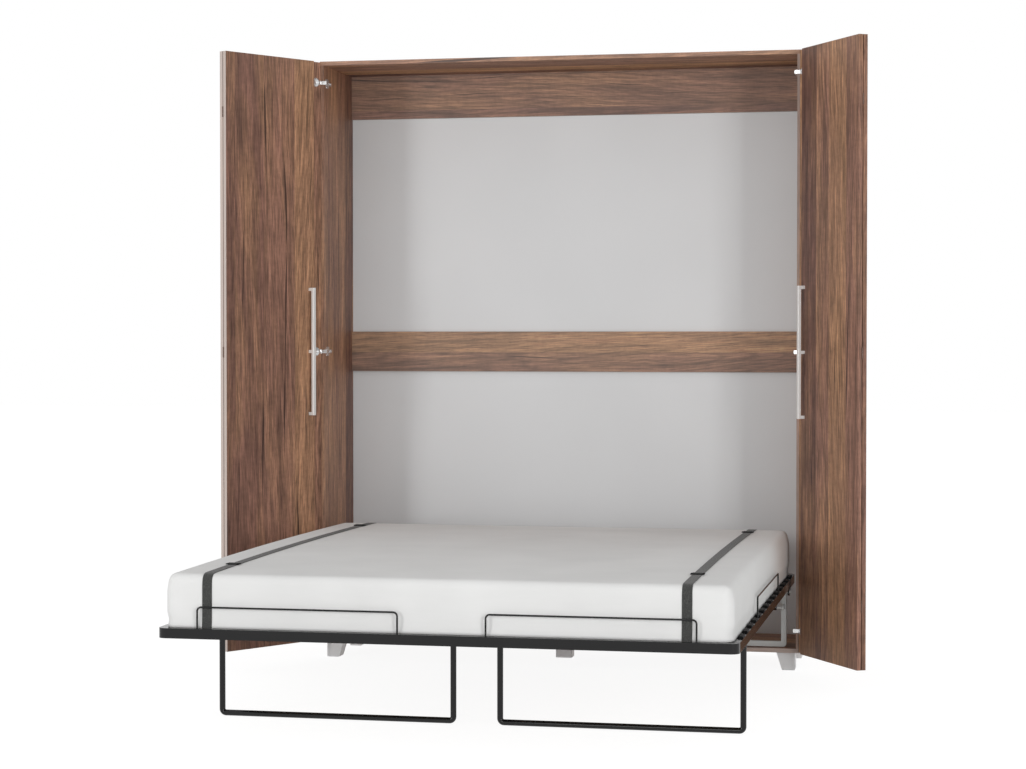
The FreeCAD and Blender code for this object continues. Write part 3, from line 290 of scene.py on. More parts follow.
def laminate(name, across, along, seed, edge_direction, edge_band_and_sheen, grey_mix):
    """Brown wood-grain board: staves with tones and grain of their own, splits, knots and an edge band, which
    on the left door leaves is also a painted sheen.
    """
    shade = Shader(name)
    flat = board_place(shade, across, along, seed)
    stave = across_line(shade, flat, STAVES_PER_METRE, STAVE_START)
    tone = shade.add("ShaderNodeSeparateColor", {"Color": stave.outputs["Color"]})
    grain = grain_place(shade, flat, stave.outputs["Color"], tone.outputs["Blue"])

    colour = shade.ramp(tone.outputs["Red"], [
        (0.05, srgb(*STAVE_DARK)),
        (0.35, srgb(*STAVE_RED)),
        (0.65, srgb(*STAVE_MIDDLE)),
        (0.95, srgb(*STAVE_TAN)),
    ])
    mottle = shade.noise(MOTTLE, 3.0, 0.6, vector=grain)
    colour = shade.mix(shade.ramp(mottle, [(0.46, 0.0), (0.68, 0.45)]), colour, srgb(*STAVE_TAN))
    for scale, dark, light in GRAIN_LAYERS:
        figure = shade.noise(scale, 4.0, 0.62, vector=grain)
        colour = tinted(shade, colour, figure, dark, light)
    colour = shade.mix(0.6, colour, flame_lines(shade, grain, tone.outputs["Green"]), "OVERLAY")
    pores = shade.noise(PORES, 2.0, 0.6, vector=grain)
    colour = shade.mix(shade.ramp(pores, [(0.60, 0.0), (0.70, 0.5)]), colour, srgb(*PORE_BROWN))

    split = splits(shade, flat)
    colour = shade.mix(split, colour, srgb(*SPLIT_BROWN))
    colour = shade.mix(knots(shade, flat), colour, srgb(*KNOT_BROWN))
    # The board mixed towards a flat grey by its own share
    colour = shade.mix(grey_mix, colour, srgb(*GREY_MIX_TONE))
    # Pale edge band: real banding, and on the left door leaves a painted sheen
    band = shade.mix(edge_band_and_sheen, colour, srgb(*EDGE_BAND_AND_SHEEN))
    colour = shade.mix(shade.facing(edge_direction), colour, band)

    fibre = shade.noise(FIBRE, 2.0, 0.6, vector=flat)
    gloss = shade.ramp(fibre, [(0.30, 0.58), (0.70, 0.45)])
    shade.set(Base_Color=colour, Roughness=gloss, Specular_IOR_Level=0.35)
    shade.bump(shade.math("SUBTRACT", fibre, shade.math("MULTIPLY", split, 0.8)), 0.16, 0.0005, 0.0007)
    return shade.material


def board_place(shade, across, along, seed):
    """A place on the board as (across, along, seed), in metres."""
    lines = []
    for direction in (across, along):
        dot = shade.add("ShaderNodeVectorMath", {0: shade.coords.outputs["Object"], 1: direction},
                        operation="DOT_PRODUCT")
        lines.append(dot.outputs["Value"])
    return shade.add("ShaderNodeCombineXYZ", {"X": lines[0], "Y": lines[1], "Z": seed}).outputs["Vector"]


def grain_place(shade, flat, stave_colour, lean):
    """The place in a stave's own grain, which leans a little and wanders from side to side."""
    place = shade.add("ShaderNodeSeparateXYZ", {"Vector": flat})
    slant = shade.math("MULTIPLY", shade.math("SUBTRACT", lean, 0.5), GRAIN_SLANT)
    shift = shade.math("MULTIPLY", slant, place.outputs["Y"])
    bent = shade.math("ADD", shade.math("ADD", place.outputs["X"], shift), wander(shade, flat))
    made = shade.add("ShaderNodeCombineXYZ", {"X": bent, "Y": place.outputs["Y"], "Z": place.outputs["Z"]})
    apart = shade.add("ShaderNodeVectorMath", {0: stave_colour, "Scale": STAVE_SHIFT}, operation="SCALE")
    return shade.add("ShaderNodeVectorMath", {0: made.outputs["Vector"], 1: apart.outputs["Vector"]},
                     operation="ADD").outputs["Vector"]


def wander(shade, flat):
    """How far the grain has strayed to the side, in metres."""
    slow = shade.math("SUBTRACT", shade.noise(SLOW_BENDS, 1.5, 0.5, vector=flat), 0.5)
    quick = shade.math("SUBTRACT", shade.noise(QUICK_BENDS, 2.0, 0.5, vector=flat), 0.5)
    broad = shade.math("MULTIPLY", slow, SLOW_WANDER)
    fine = shade.math("MULTIPLY", quick, QUICK_WANDER)
    return shade.math("ADD", broad, fine)


def across_line(shade, place, per_metre, shift):
    """Random strips along the board: each cell's colour and the distance to its middle line."""
    parts = shade.add("ShaderNodeSeparateXYZ", {"Vector": place})
    start = shade.math("MULTIPLY", parts.outputs["Z"], shift)
    line = shade.math("ADD", shade.math("MULTIPLY", parts.outputs["X"], per_metre), start)
    inputs = {"W": line, "Scale": 1.0, "Randomness": STRIP_RANDOM}
    return shade.add("ShaderNodeTexVoronoi", inputs, voronoi_dimensions="1D")


def flame_lines(shade, place, strength):
    """Year rings cut at a slant, plain in some staves and hardly there in others."""
    rings = shade.noise(RINGS, 1.5, 0.45, vector=place)
    lines = shade.math("PINGPONG", shade.math("MULTIPLY", rings, RING_LINES), 0.5)
    shown = shade.ramp(lines, [(0.0, 0.26), (0.18, 0.47), (0.5, 0.57)])
    return shade.mix(shade.ramp(strength, [(0.35, 0.1), (0.8, 1.0)]), (0.5, 0.5, 0.5, 1.0), shown)


def tinted(shade, colour, value, dark, light):
    """The colour made darker and lighter by a noise value."""
    return shade.mix(1.0, colour, shade.ramp(value, [(0.34, dark), (0.50, 0.5), (0.66, light)]), "OVERLAY")


def splits(shade, flat):
    """Thin dark lines near the grain's run, widest in their middle."""
    found = 0.0
    for per_metre, shift, lean in SPLIT_SETS:
        place = grain_place(shade, flat, (0, 0, 0), lean)
        cell = across_line(shade, place, per_metre, shift)
        own = shade.add("ShaderNodeVectorMath", {0: place, 1: cell.outputs["Color"]}, operation="ADD")
        run = shade.noise((0.0, SPLITS_ALONG, 20.0), 1.0, 0.5, vector=own.outputs["Vector"])
        open_share = shade.math("SUBTRACT", run, SPLIT_LEVEL)
        width = shade.math("MULTIPLY", open_share, SPLIT_WIDTH * per_metre)
        inside = shade.math("SUBTRACT", width, cell.outputs["Distance"])
        line = shade.ramp(inside, [(0.0, 0.0), (SPLIT_EDGE * per_metre, 0.9)])
        found = shade.math("MAXIMUM", line, found)
    return found


def knots(shade, flat):
    """A few small dark knots, drawn out along the grain."""
    spots = shade.add("ShaderNodeMapping", {"Vector": flat, "Scale": KNOTS})
    cells = shade.add("ShaderNodeTexVoronoi", {"Vector": spots.outputs["Vector"], "Scale": 1.0})
    spot = shade.ramp(cells.outputs["Distance"], [(0.0, 0.9), (0.03, 0.7), (0.06, 0.25), (0.10, 0.0)])
    chosen = shade.math("GREATER_THAN", cells.outputs["Color"], KNOT_LEVEL)
    return shade.math("MULTIPLY", spot, chosen)


def back_board():
    """Pale grey coated board with a faint fine grain."""
    shade = Shader("back_board")
    cloud = shade.noise((1.2, 1.2, 1.2), 2.0)
    speck = shade.noise((900, 900, 900), 2.0)
    colour = shade.ramp(cloud, [(0.3, srgb(212, 213, 214)), (0.7, srgb(220, 221, 222))])
    colour = shade.mix(0.05, colour, shade.ramp(speck, [(0.35, 0.35), (0.65, 0.65)]), "OVERLAY")
    shade.set(Base_Color=colour, Roughness=shade.ramp(cloud, [(0.3, 0.5), (0.7, 0.58)]))
    shade.bump(speck, 0.05, 0.0002)
    return shade.material


def slat_wood():
    """Varnished beech: short flecks along the slat."""
    shade = Shader("slat_wood")
    bands = shade.noise((1.3, 60, 60), 3.0)
    fleck = shade.noise((60, 900, 900), 2.0)
    colour = shade.ramp(bands, [
        (0.3, srgb(190, 152, 108)),
        (0.5, srgb(208, 172, 128)),
        (0.7, srgb(219, 187, 146)),
    ])
    colour = shade.mix(0.35, colour, shade.ramp(fleck, [(0.35, 0.38), (0.6, 0.55)]), "OVERLAY")
    shade.set(Base_Color=colour, Roughness=shade.ramp(fleck, [(0.3, 0.42), (0.7, 0.34)]), Coat_Weight=0.25)
    shade.bump(fleck, 0.12, 0.0003, 0.0008)
    return shade.material


def paint(name, colour, lighter, rough, shine, edge):
    """Powder coat: orange peel, faint tone changes and rubbed edges."""
    shade = Shader(name)
    peel = shade.noise((420, 420, 420), 2.0, 0.5)
    tone = shade.noise((7, 7, 7), 3.0)
    body = shade.ramp(tone, [(0.3, colour), (0.75, lighter)])
    shade.set(Base_Color=body, Roughness=shade.ramp(tone, [(0.3, rough), (0.7, rough + 0.04)]),
              Specular_IOR_Level=shine)
    shade.bump(peel, 0.04, 0.0003, edge)
    return shade.material


def plated(name, colour, lighter, rough, edge):
    """Bright plating with faint smears."""
    shade = Shader(name)
    smear = shade.noise((90, 90, 30), 3.0, 0.6)
    tone = shade.ramp(smear, [(0.3, colour), (0.7, lighter)])
    gloss = shade.ramp(smear, [(0.3, rough), (0.7, rough + 0.10)])
    shade.set(Base_Color=tone, Metallic=0.75, Roughness=gloss)
    shade.bump(smear, 0.04, 0.0002, edge)
    return shade.material


def brushed(name):
    """Satin metal with long fine scratches up the bar."""
    shade = Shader(name)
    lines = shade.noise((2600, 2600, 9), 2.0, 0.6)
    tone = shade.noise((14, 14, 5), 2.0)
    colour = shade.ramp(lines, [(0.3, srgb(224, 222, 220)), (0.7, srgb(241, 240, 238))])
    colour = shade.mix(0.2, colour, shade.ramp(tone, [(0.3, 0.42), (0.7, 0.56)]), "OVERLAY")
    shade.set(Base_Color=colour, Metallic=0.25, Roughness=shade.ramp(lines, [(0.3, 0.46), (0.7, 0.36)]))
    shade.bump(lines, 0.08, 0.0002, 0.0006)
    return shade.material


def plastic(name, colour, lighter, rough, shine, edge):
    """Moulded plastic with a spark-eroded grain."""
    shade = Shader(name)
    grain = shade.noise((1100, 1100, 1100), 2.0, 0.6)
    tone = shade.noise((20, 20, 20), 2.0)
    shade.set(Base_Color=shade.ramp(tone, [(0.3, colour), (0.7, lighter)]),
              Roughness=shade.ramp(grain, [(0.3, rough + 0.06), (0.7, rough - 0.05)]),
              Specular_IOR_Level=shine)
    shade.bump(grain, 0.14, 0.0003, edge)
    return shade.material


def knit():
    """White knitted ticking: small rib loops, faint slubs and a soft sheen."""
    shade = Shader("mattress_knit")
    place = shade.add("ShaderNodeSeparateXYZ", {"Vector": shade.coords.outputs["Object"]})

    def ribs(value, per_metre):
        return shade.math("SINE", shade.math("MULTIPLY", value, 2 * math.pi * per_metre))

    run = shade.math("ADD", place.outputs["Y"], place.outputs["Z"])
    wales = ribs(place.outputs["X"], KNIT_WALES)
    courses = ribs(run, KNIT_COURSES)
    loops = shade.math("MULTIPLY", wales, courses)
    slub = shade.noise((9, 60, 60), 3.0, 0.6)
    cloud = shade.noise((3, 3, 3), 2.0)
    colour = shade.ramp(cloud, [(0.3, srgb(222, 222, 221)), (0.7, srgb(229, 229, 228))])
    colour = shade.mix(0.10, colour, shade.ramp(slub, [(0.35, 0.40), (0.65, 0.56)]), "OVERLAY")
    colour = shade.mix(0.06, colour, shade.ramp(loops, [(0.0, 0.35), (1.0, 0.62)]), "OVERLAY")
    gloss = shade.ramp(slub, [(0.3, 0.93), (0.7, 0.85)])
    shade.set(Base_Color=colour, Roughness=gloss, Specular_IOR_Level=0.2,
              Sheen_Weight=0.12, Sheen_Roughness=0.5)
    height = shade.math("ADD", shade.math("MULTIPLY", loops, 0.5), shade.math("MULTIPLY", slub, 1.6))
    shade.bump(height, 0.22, 0.0009)
    return shade.material


def webbing():
    """Dark grey woven strap: warp ribs across, weft ticks along, lighter flecks."""
    shade = Shader("webbing")
    place = shade.add("ShaderNodeSeparateXYZ", {"Vector": shade.coords.outputs["Object"]})
    run = shade.math("ADD", place.outputs["Y"], place.outputs["Z"])
    warp = shade.math("SINE", shade.math("MULTIPLY", place.outputs["X"], 2 * math.pi * STRAP_WARP))
    slant = shade.math("ADD", shade.math("MULTIPLY", run, 2 * math.pi * STRAP_WEFT),
                       shade.math("MULTIPLY", place.outputs["X"], 2 * math.pi * STRAP_SLANT))
    weft = shade.math("SINE", slant)
    weave = shade.math("MULTIPLY", shade.math("ADD", warp, weft), 0.5)
    fleck = shade.noise((420, 260, 260), 3.0, 0.7)
    colour = shade.ramp(fleck, [
        (0.30, srgb(31, 32, 31)),
        (0.52, srgb(53, 54, 52)),
        (0.75, srgb(88, 89, 86)),
    ])
    colour = shade.mix(0.45, colour, shade.ramp(weave, [(0.0, 0.32), (1.0, 0.6)]), "OVERLAY")
    shade.set(Base_Color=colour, Roughness=shade.ramp(fleck, [(0.3, 0.86), (0.7, 0.74)]), Sheen_Weight=0.15)
    shade.bump(weave, 0.45, 0.0004)
    return shade.material


def paint_nodes():
    """Each solid gets its material. Boards get one each, so that no two show the same figure.

    A board's row holds what laminate takes after the name: across, along, seed, the way that its banded edge
    looks, the band's strength (on the left door leaves it is partly a painted sheen) and the share of grey
    mixed in. Across leans into the thickness, so that the grain runs on over the edges.
    """
    wide = Vector((1, 0, 0))
    deep = Vector((0, 1, 0))
    tall = Vector((0, 0, 1))
    right_run = LEAF_RUN
    left_run = Vector((-LEAF_RUN.x, LEAF_RUN.y, 0))
    boards = {
        "base_panel": (deep + tall, wide, 1.0, deep, 0.6, 0.0),
        "top_panel": (deep + tall, wide, 2.3, deep, 0.1, 0.0),
        "right_side_panel": (deep + wide, tall, 3.1, deep, 0.35, 0.0),
        "left_side_panel": (deep + wide, tall, 6.022, deep, 0.05, 0.0),
        # The cross rails' last value mixes them towards a flat grey
        "top_cross_rail": (tall + deep, wide, 4.277, tall, 0.3, 0.30),
        "middle_cross_rail": (tall + deep, wide, 4.777, tall, 0.3, 0.35),
        "right_outer_door_leaf": (right_run + right_run.cross(tall), tall, 7.7, right_run, 0.0, 0.0),
        "right_inner_door_leaf": (right_run + right_run.cross(tall), tall, 8.9, right_run, 0.0, 0.0),
        # The left door leaves' strong pale edge is partly a painted sheen; the right leaves have none
        "left_outer_door_leaf": (left_run + left_run.cross(tall), tall, 9.6, left_run, 0.85, 0.0),
        "left_inner_door_leaf": (left_run + left_run.cross(tall), tall, 11.857, left_run, 0.85, 0.0),
    }
    for name, settings in boards.items():
        wear(name, laminate("laminate_" + name, *settings))
    wear("back_panel", back_board())
    wear("slats", slat_wood())
    black = paint("black_paint", srgb(9, 9, 10), srgb(14, 14, 15), 0.09, 0.35, 0.0008)
    for name in ("front_rail", "head_rail", "right_side_rail", "left_side_rail", "centre_beam", "cross_tubes",
                 "pivot_plates", "leg_brackets", "strut_lugs", "front_hoops", "head_hoops", "side_hoops",
                 "right_folding_leg", "left_folding_leg", "right_strut_cylinder", "left_strut_cylinder"):
        wear(name, black)
    grey = paint("grey_paint", srgb(208, 210, 209), srgb(220, 222, 221), 0.34, 0.5, 0.0008)
    for name in ("stand_tube", "stand_bosses", "stand_clips", "strut_anchors"):
        wear(name, grey)
    chrome = plated("chrome", srgb(230, 230, 230), srgb(243, 243, 243), 0.16, 0.0004)
    for name in ("right_hinge_cups", "left_hinge_cups", "right_hinge_arms", "left_hinge_arms",
                 "right_strut_rod", "left_strut_rod"):
        wear(name, chrome)
    brown = paint("brown_paint", srgb(92, 67, 55), srgb(104, 77, 63), 0.36, 0.45, 0.0004)
    for name in ("right_outer_fold_hinges", "left_outer_fold_hinges", "right_inner_fold_hinges",
                 "left_inner_fold_hinges"):
        wear(name, brown)
    steel = brushed("steel")
    for name in ("right_door_handle", "left_door_handle", "door_hinge_pins", "right_fold_hinge_pins",
                 "left_fold_hinge_pins", "leg_pins", "pivot_pins", "pivot_washers", "wall_brackets",
                 "bracket_screws"):
        wear(name, steel)
    holder = plastic("black_plastic", srgb(8, 8, 9), srgb(14, 14, 15), 0.58, 0.15, 0.0006)
    for name in ("side_slat_holders", "centre_slat_holders"):
        wear(name, holder)
    foot = plastic("grey_plastic", srgb(240, 241, 242), srgb(247, 248, 249), 0.42, 0.5, 0.0008)
    for name in ("corner_feet", "centre_foot"):
        wear(name, foot)
    return {"chrome": chrome, "plastic": holder}


def wear(name, material):
    """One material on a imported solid."""
    mesh = nodes[name].data
    mesh.materials.clear()
    mesh.materials.append(material)


# Meshes

def finished(bm, name):
    """A mesh made from a bmesh, with its faces turned outwards."""
    bmesh.ops.recalc_face_normals(bm, faces=bm.faces)
    mesh = bpy.data.meshes.new(name)
    bm.to_mesh(mesh)
    bm.free()
    return mesh


def mesh_object(name, mesh, material, body):
    """An object with one material, which rides on a body."""
    made = bpy.data.objects.new(name, mesh)
    bpy.context.scene.collection.objects.link(made)
    mesh.materials.clear()
    mesh.materials.append(material)
    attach(made, body)
    return made


def applied(made):
    """The object's mesh with its modifiers worked in."""
    graph = bpy.context.evaluated_depsgraph_get()
    mesh = bpy.data.meshes.new_from_object(made.evaluated_get(graph))
    made.modifiers.clear()
    made.data = mesh
    return mesh


# Mattress

def strap_hold(x):
    """0 under a strap, 1 well away from it."""
    away = abs(abs(x) - STRAP_X) - STRAP_W / 2
    return smoothstep(away / STRAP_FADE)


def blown(made):
    """Vertex places after a short cloth simulation with air pressure and no gravity."""
    cloth = made.modifiers.new("cloth", "CLOTH")
    cloth.settings.quality = COVER_QUALITY
    cloth.settings.use_pressure = True
    cloth.settings.uniform_pressure_force = COVER_PRESSURE
    cloth.settings.effector_weights.gravity = 0
    cloth.point_cache.frame_start = 1
    cloth.point_cache.frame_end = COVER_FRAMES
    scene = bpy.context.scene
    for number in range(1, COVER_FRAMES + 1):
        scene.frame_set(number)
    graph = bpy.context.evaluated_depsgraph_get()
    places = [vertex.co.copy() for vertex in made.evaluated_get(graph).data.vertices]
    made.modifiers.clear()
    scene.frame_set(1)
    return places


def mattress_cover(material):
    """The mattress: a grid on its solid, drawn in, blown up as cloth, held by the straps and creased."""
    low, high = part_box("mattress")
    solid = BVHTree.FromObject(nodes["mattress"], bpy.context.evaluated_depsgraph_get())
    mesh = box_grid(low, high)
    cover = mesh_object("mattress_cover", mesh, material, "bed")
    homes = [home_place(vertex.co, solid, low, high) for vertex in mesh.vertices]
    starts = [home - normal * COVER_SLACK for home, normal in homes]
    for vertex, start in zip(mesh.vertices, starts):
        vertex.co = start
    ends = blown(cover)
    for vertex, (home, normal), start, end in zip(mesh.vertices, homes, starts, ends):
        hold = strap_hold(home.x)
        move = end - start
        if move.length > COVER_SLACK * hold:
            move *= COVER_SLACK * hold / move.length
        puffed = start + move + normal * creases(home, normal, low, high) * hold
        vertex.co = home.lerp(puffed, above_rim(home, low))
    evened(mesh, low, EVEN_COARSE)
    finer = cover.modifiers.new("finer", "SUBSURF")
    finer.levels = 1
    finer.render_levels = 1
    mesh = applied(cover)
    drawn_to_solid(mesh, solid, low)
    evened(mesh, low, EVEN_FINE)
    fill_box(mesh, Vector((low.x, low.y, RAIL_TOP + RIM_CLEAR)), high)
    bulge_sides(mesh, low, high)
    for face in mesh.polygons:
        face.use_smooth = True
    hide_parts("mattress")
    return cover


def box_grid(low, high):
    """A closed box of nearly square cells, with its bottom edges marked to stay sharp."""
    size = high - low
    bm = bmesh.new()
    bmesh.ops.create_cube(bm, size=1.0)
    half = 0.5
    for axis in range(3):
        along = [edge for edge in bm.edges if abs(edge.verts[0].co[axis] - edge.verts[1].co[axis]) > half]
        cuts = round(size[axis] / COVER_CELL) - 1
        bmesh.ops.subdivide_edges(bm, edges=along, cuts=cuts, use_grid_fill=True)
    sharp = bm.edges.layers.float.new("crease_edge")
    for edge in bm.edges:
        if all(on_wall(vert.co, half) and vert.co.z < -half * NEARLY for vert in edge.verts):
            edge[sharp] = 1.0
    for vert in bm.verts:
        vert.co = (low + high) / 2 + vert.co * size
    return finished(bm, "mattress_cover")


def on_wall(place, half):
    """Whether a place is on one of the four upright sides of a box about the origin."""
    return max(abs(place.x), abs(place.y)) > half * NEARLY


def home_place(place, solid, low, high):
    """Where a place on the mattress's box lies on the cover, and the way out.

    It lies on the solid, but round the bottom there is a square rim, let down onto the rails at both ends.
    """
    middle = (low + high) / 2
    half = (high - low) / 2
    share = Vector(((place.x - middle.x) / half.x, (place.y - middle.y) / half.y))
    if place.z > low.z + RIM_H:
        nearest, normal = solid.find_nearest(place)[:2]
        return nearest, normal
    if on_wall(share, 1.0):
        nearest, normal = solid.find_nearest(Vector((place.x, place.y, low.z + PLAN_LEVEL)))[:2]
        to_end = min(nearest.y - low.y, high.y - nearest.y)
        drop = (low.z - RAIL_TOP - RIM_CLEAR) * smoothstep(1 - to_end / RIM_DEPTH)
        return Vector((nearest.x, nearest.y, place.z - drop)), normal
    x = min(max(place.x, low.x + PLAN_R), high.x - PLAN_R)
    y = min(max(place.y, low.y + PLAN_R), high.y - PLAN_R)
    out = Vector((place.x - x, place.y - y, 0))
    if out.length:
        out *= max(abs(out.x), abs(out.y)) / out.length
    return Vector((x, y, place.z)) + out, Vector((0, 0, -1))


def above_rim(place, low):
    """0 on the rim and below it, 1 well above."""
    return smoothstep((place.z - low.z - RIM_H) / RIM_FADE)


def evened(mesh, low, sweeps):
    """Smooth a mesh above its rim."""
    bm = bmesh.new()
    bm.from_mesh(mesh)
    free = [vert for vert in bm.verts if vert.co.z > low.z + RIM_H]
    for sweep in range(sweeps):
        bmesh.ops.smooth_vert(bm, verts=free, factor=0.5, use_axis_x=True, use_axis_y=True, use_axis_z=True)
    bm.to_mesh(mesh)
    bm.free()


def drawn_to_solid(mesh, solid, low):
    """Each vertex put near the solid's own surface again, with the cover's relief kept but softly limited."""
    for vertex in mesh.vertices:
        nearest, normal = solid.find_nearest(vertex.co)[:2]
        relief = (vertex.co - nearest).dot(normal)
        limited = nearest + normal * RELIEF_LIMIT * math.tanh(relief / RELIEF_LIMIT)
        vertex.co = vertex.co.lerp(limited, above_rim(vertex.co, low))


def bulge_sides(mesh, low, high):
    """The long sides filled out a little between the slat holders and the top edges."""
    for vertex in mesh.vertices:
        to_side = high.x - abs(vertex.co.x)
        rise = smoothstep((vertex.co.z - low.z - BULGE_START) / (BULGE_FULL - BULGE_START))
        fall = smoothstep((high.z - vertex.co.z - BULGE_TOP) / BULGE_FULL)
        near = smoothstep(1 - to_side / BULGE_FULL)
        vertex.co.x += math.copysign(SIDE_BULGE * rise * fall * near, vertex.co.x)


def fill_box(mesh, low, high):
    """Stretch a mesh by the little that it lost to smoothing, so that it fills its box again."""
    for axis in range(3):
        values = [vertex.co[axis] for vertex in mesh.vertices]
        start = min(values)
        scale = (high[axis] - low[axis]) / (max(values) - start)
        for vertex in mesh.vertices:
            vertex.co[axis] = low[axis] + (vertex.co[axis] - start) * scale


def creases(place, normal, low, high):
    """Height of the cover's waves: broad on top, upright pleats on the sides, stronger at the corners."""
    wave = noise.noise(Vector((place.x * WAVES_ACROSS, place.y * WAVES_ALONG, WAVE_SLICE))) * WAVE_HEIGHT
    to_side = high.x - abs(place.x)
    to_end = min(place.y - low.y, high.y - place.y)
    corner = smoothstep(1 - max(to_side, to_end) / CORNER_REACH)
    drape = smoothstep(1 - min(to_side, to_end) / PLEAT_REACH)
    upright = 1 - abs(normal.z)
    around = (place.x + place.y) * PLEATS_AROUND
    pleat = noise.noise(Vector((around, place.z * PLEATS_UP, PLEAT_SLICE))) * PLEAT_HEIGHT
    return wave * (1 - upright) + pleat * upright * (PLEAT_EVEN + PLEAT_CORNER * corner) * drape


# Straps

def strap_outline():
    """Points and outward directions round the mattress, from the front rail over the top to the head rail."""
    low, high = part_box("mattress")
    points = []
    z = RAIL_TOP + STRAP_LIFT
    while z < high.z - EDGE_R:
        points.append((Vector((0, low.y, z)), Vector((0, -1, 0))))
        z += STRAP_STEP
    for step in range(EDGE_TURNS + 1):
        angle = math.pi / 2 * step / EDGE_TURNS
        out = Vector((0, -math.cos(angle), math.sin(angle)))
        points.append((Vector((0, low.y + EDGE_R, high.z - EDGE_R)) + out * EDGE_R, out))
    y = low.y + EDGE_R + STRAP_STEP
    middle_y = (low.y + high.y) / 2
    while y < middle_y:
        points.append((Vector((0, y, high.z)), Vector((0, 0, 1))))
        y += STRAP_STEP
    back = []
    for point, out in reversed(points):
        back.append((Vector((0, 2 * middle_y - point.y, point.z)), Vector((0, -out.y, out.z))))
    return points + back


def strap_line(cover, x):
    """The strap's middle line laid on the mattress as it is, evened out as a tight strap is."""
    graph = bpy.context.evaluated_depsgraph_get()
    tree = BVHTree.FromObject(cover, graph)
    line = []
    for point, out in strap_outline():
        place = Vector((x, point.y, point.z))
        hit = tree.ray_cast(place + out * STRAP_REACH, -out, 2 * STRAP_REACH)[0]
        line.append((hit or place) + out * (STRAP_LIFT + STRAP_T / 2))
    fixed = (0, len(line) - 1)
    for sweep in range(STRAP_SWEEPS):
        line = [point if number in fixed else (line[number - 1] + point * 2 + line[number + 1]) / 4
                for number, point in enumerate(line)]
    return line


def ribbon(bm, line, width, thick):
    """A flat band with softened edges along a line in a plane of constant x."""
    bevel = thick * STRAP_BEVEL
    section = [
        (-width / 2, 0), (-width / 2 + bevel, thick / 2), (0, thick / 2), (width / 2 - bevel, thick / 2),
        (width / 2, 0), (width / 2 - bevel, -thick / 2), (0, -thick / 2), (-width / 2 + bevel, -thick / 2),
    ]
    rings = []
    for number, point in enumerate(line):
        ahead = line[min(number + 1, len(line) - 1)] - line[max(number - 1, 0)]
        out = Vector((1, 0, 0)).cross(ahead).normalized()
        rings.append([bm.verts.new(point + Vector((across, 0, 0)) + out * rise) for across, rise in section])
    for first, second in zip(rings, rings[1:]):
        for number in range(len(section)):
            after = (number + 1) % len(section)
            bm.faces.new((first[number], first[after], second[after], second[number]))
    bm.faces.new(list(reversed(rings[0])))
    bm.faces.new(rings[-1])


def bar_along_x(bm, centre, length, wide, tall):
    """A rounded bar of a slider."""
    made = bmesh.ops.create_cube(bm, size=1.0)["verts"]
    bmesh.ops.scale(bm, verts=made, vec=Vector((length, wide, tall)))
    bmesh.ops.translate(bm, verts=made, vec=centre)
    edges = {edge for vert in made for edge in vert.link_edges}
    bmesh.ops.bevel(bm, geom=list(edges), offset=min(wide, tall) * SLIDER_ROUND, segments=2, affect="EDGES")


def slider_places():
    """Centres of the four sliders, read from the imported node."""
    low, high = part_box("strap_sliders")
    half = SLIDER_L / 2
    return [(x, y) for x in (-STRAP_X, STRAP_X) for y in (low.y + half, high.y - half)]


def straps_and_sliders(cover, cloth, hard):
    """Two webbing straps, and on each two sliders that the webbing is threaded through."""
    bands = bmesh.new()
    bars = bmesh.new()
    for x in (-STRAP_X, STRAP_X):
        line = strap_line(cover, x)
        ribbon(bands, line, STRAP_W, STRAP_T)
        for slider_x, y in slider_places():
            if slider_x * x > 0:
                top = max(point.z for point in line if abs(point.y - y) < SLIDER_L / 2) + STRAP_T / 2
                slider(bars, Vector((x, y, top)))
                ribbon(bands, slider_loop(Vector((x, y, top))), LOOP_W, LOOP_T)
    band_mesh = finished(bands, "strap_webbing")
    band_object = mesh_object("strap_webbing", band_mesh, cloth, "bed")
    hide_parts("straps")
    bar_mesh = finished(bars, "strap_slider_bars")
    bar_object = mesh_object("strap_slider_bars", bar_mesh, hard, "bed")
    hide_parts("strap_sliders")
    for face in bar_mesh.polygons:
        face.use_smooth = False


def slider_loop(foot):
    """The webbing's turn over a slider's middle bar, from the front to the back of it."""
    loop = []
    for step in reversed(range(LOOP_STEPS + 1)):
        angle = math.pi * step / LOOP_STEPS
        y = foot.y + LOOP_REACH * math.cos(angle)
        z = foot.z + LOOP_T / 2 + (SLIDER_T + LOOP_T / 2) * math.sin(angle)
        loop.append(Vector((foot.x, y, z)))
    return loop


def slider(bm, foot):
    """Three cross bars and two side bars, standing on a strap."""
    z = foot.z + SLIDER_T / 2
    for shift in (-0.5, 0, 0.5):
        y = foot.y + shift * (SLIDER_L - SLIDER_BAR)
        bar_along_x(bm, Vector((foot.x, y, z)), SLIDER_W, SLIDER_BAR, SLIDER_T)
    for side in (-0.5, 0.5):
        x = foot.x + side * (SLIDER_W - SLIDER_BAR)
        bar_along_x(bm, Vector((x, foot.y, z)), SLIDER_BAR, SLIDER_L, SLIDER_T)


# Hinge screws

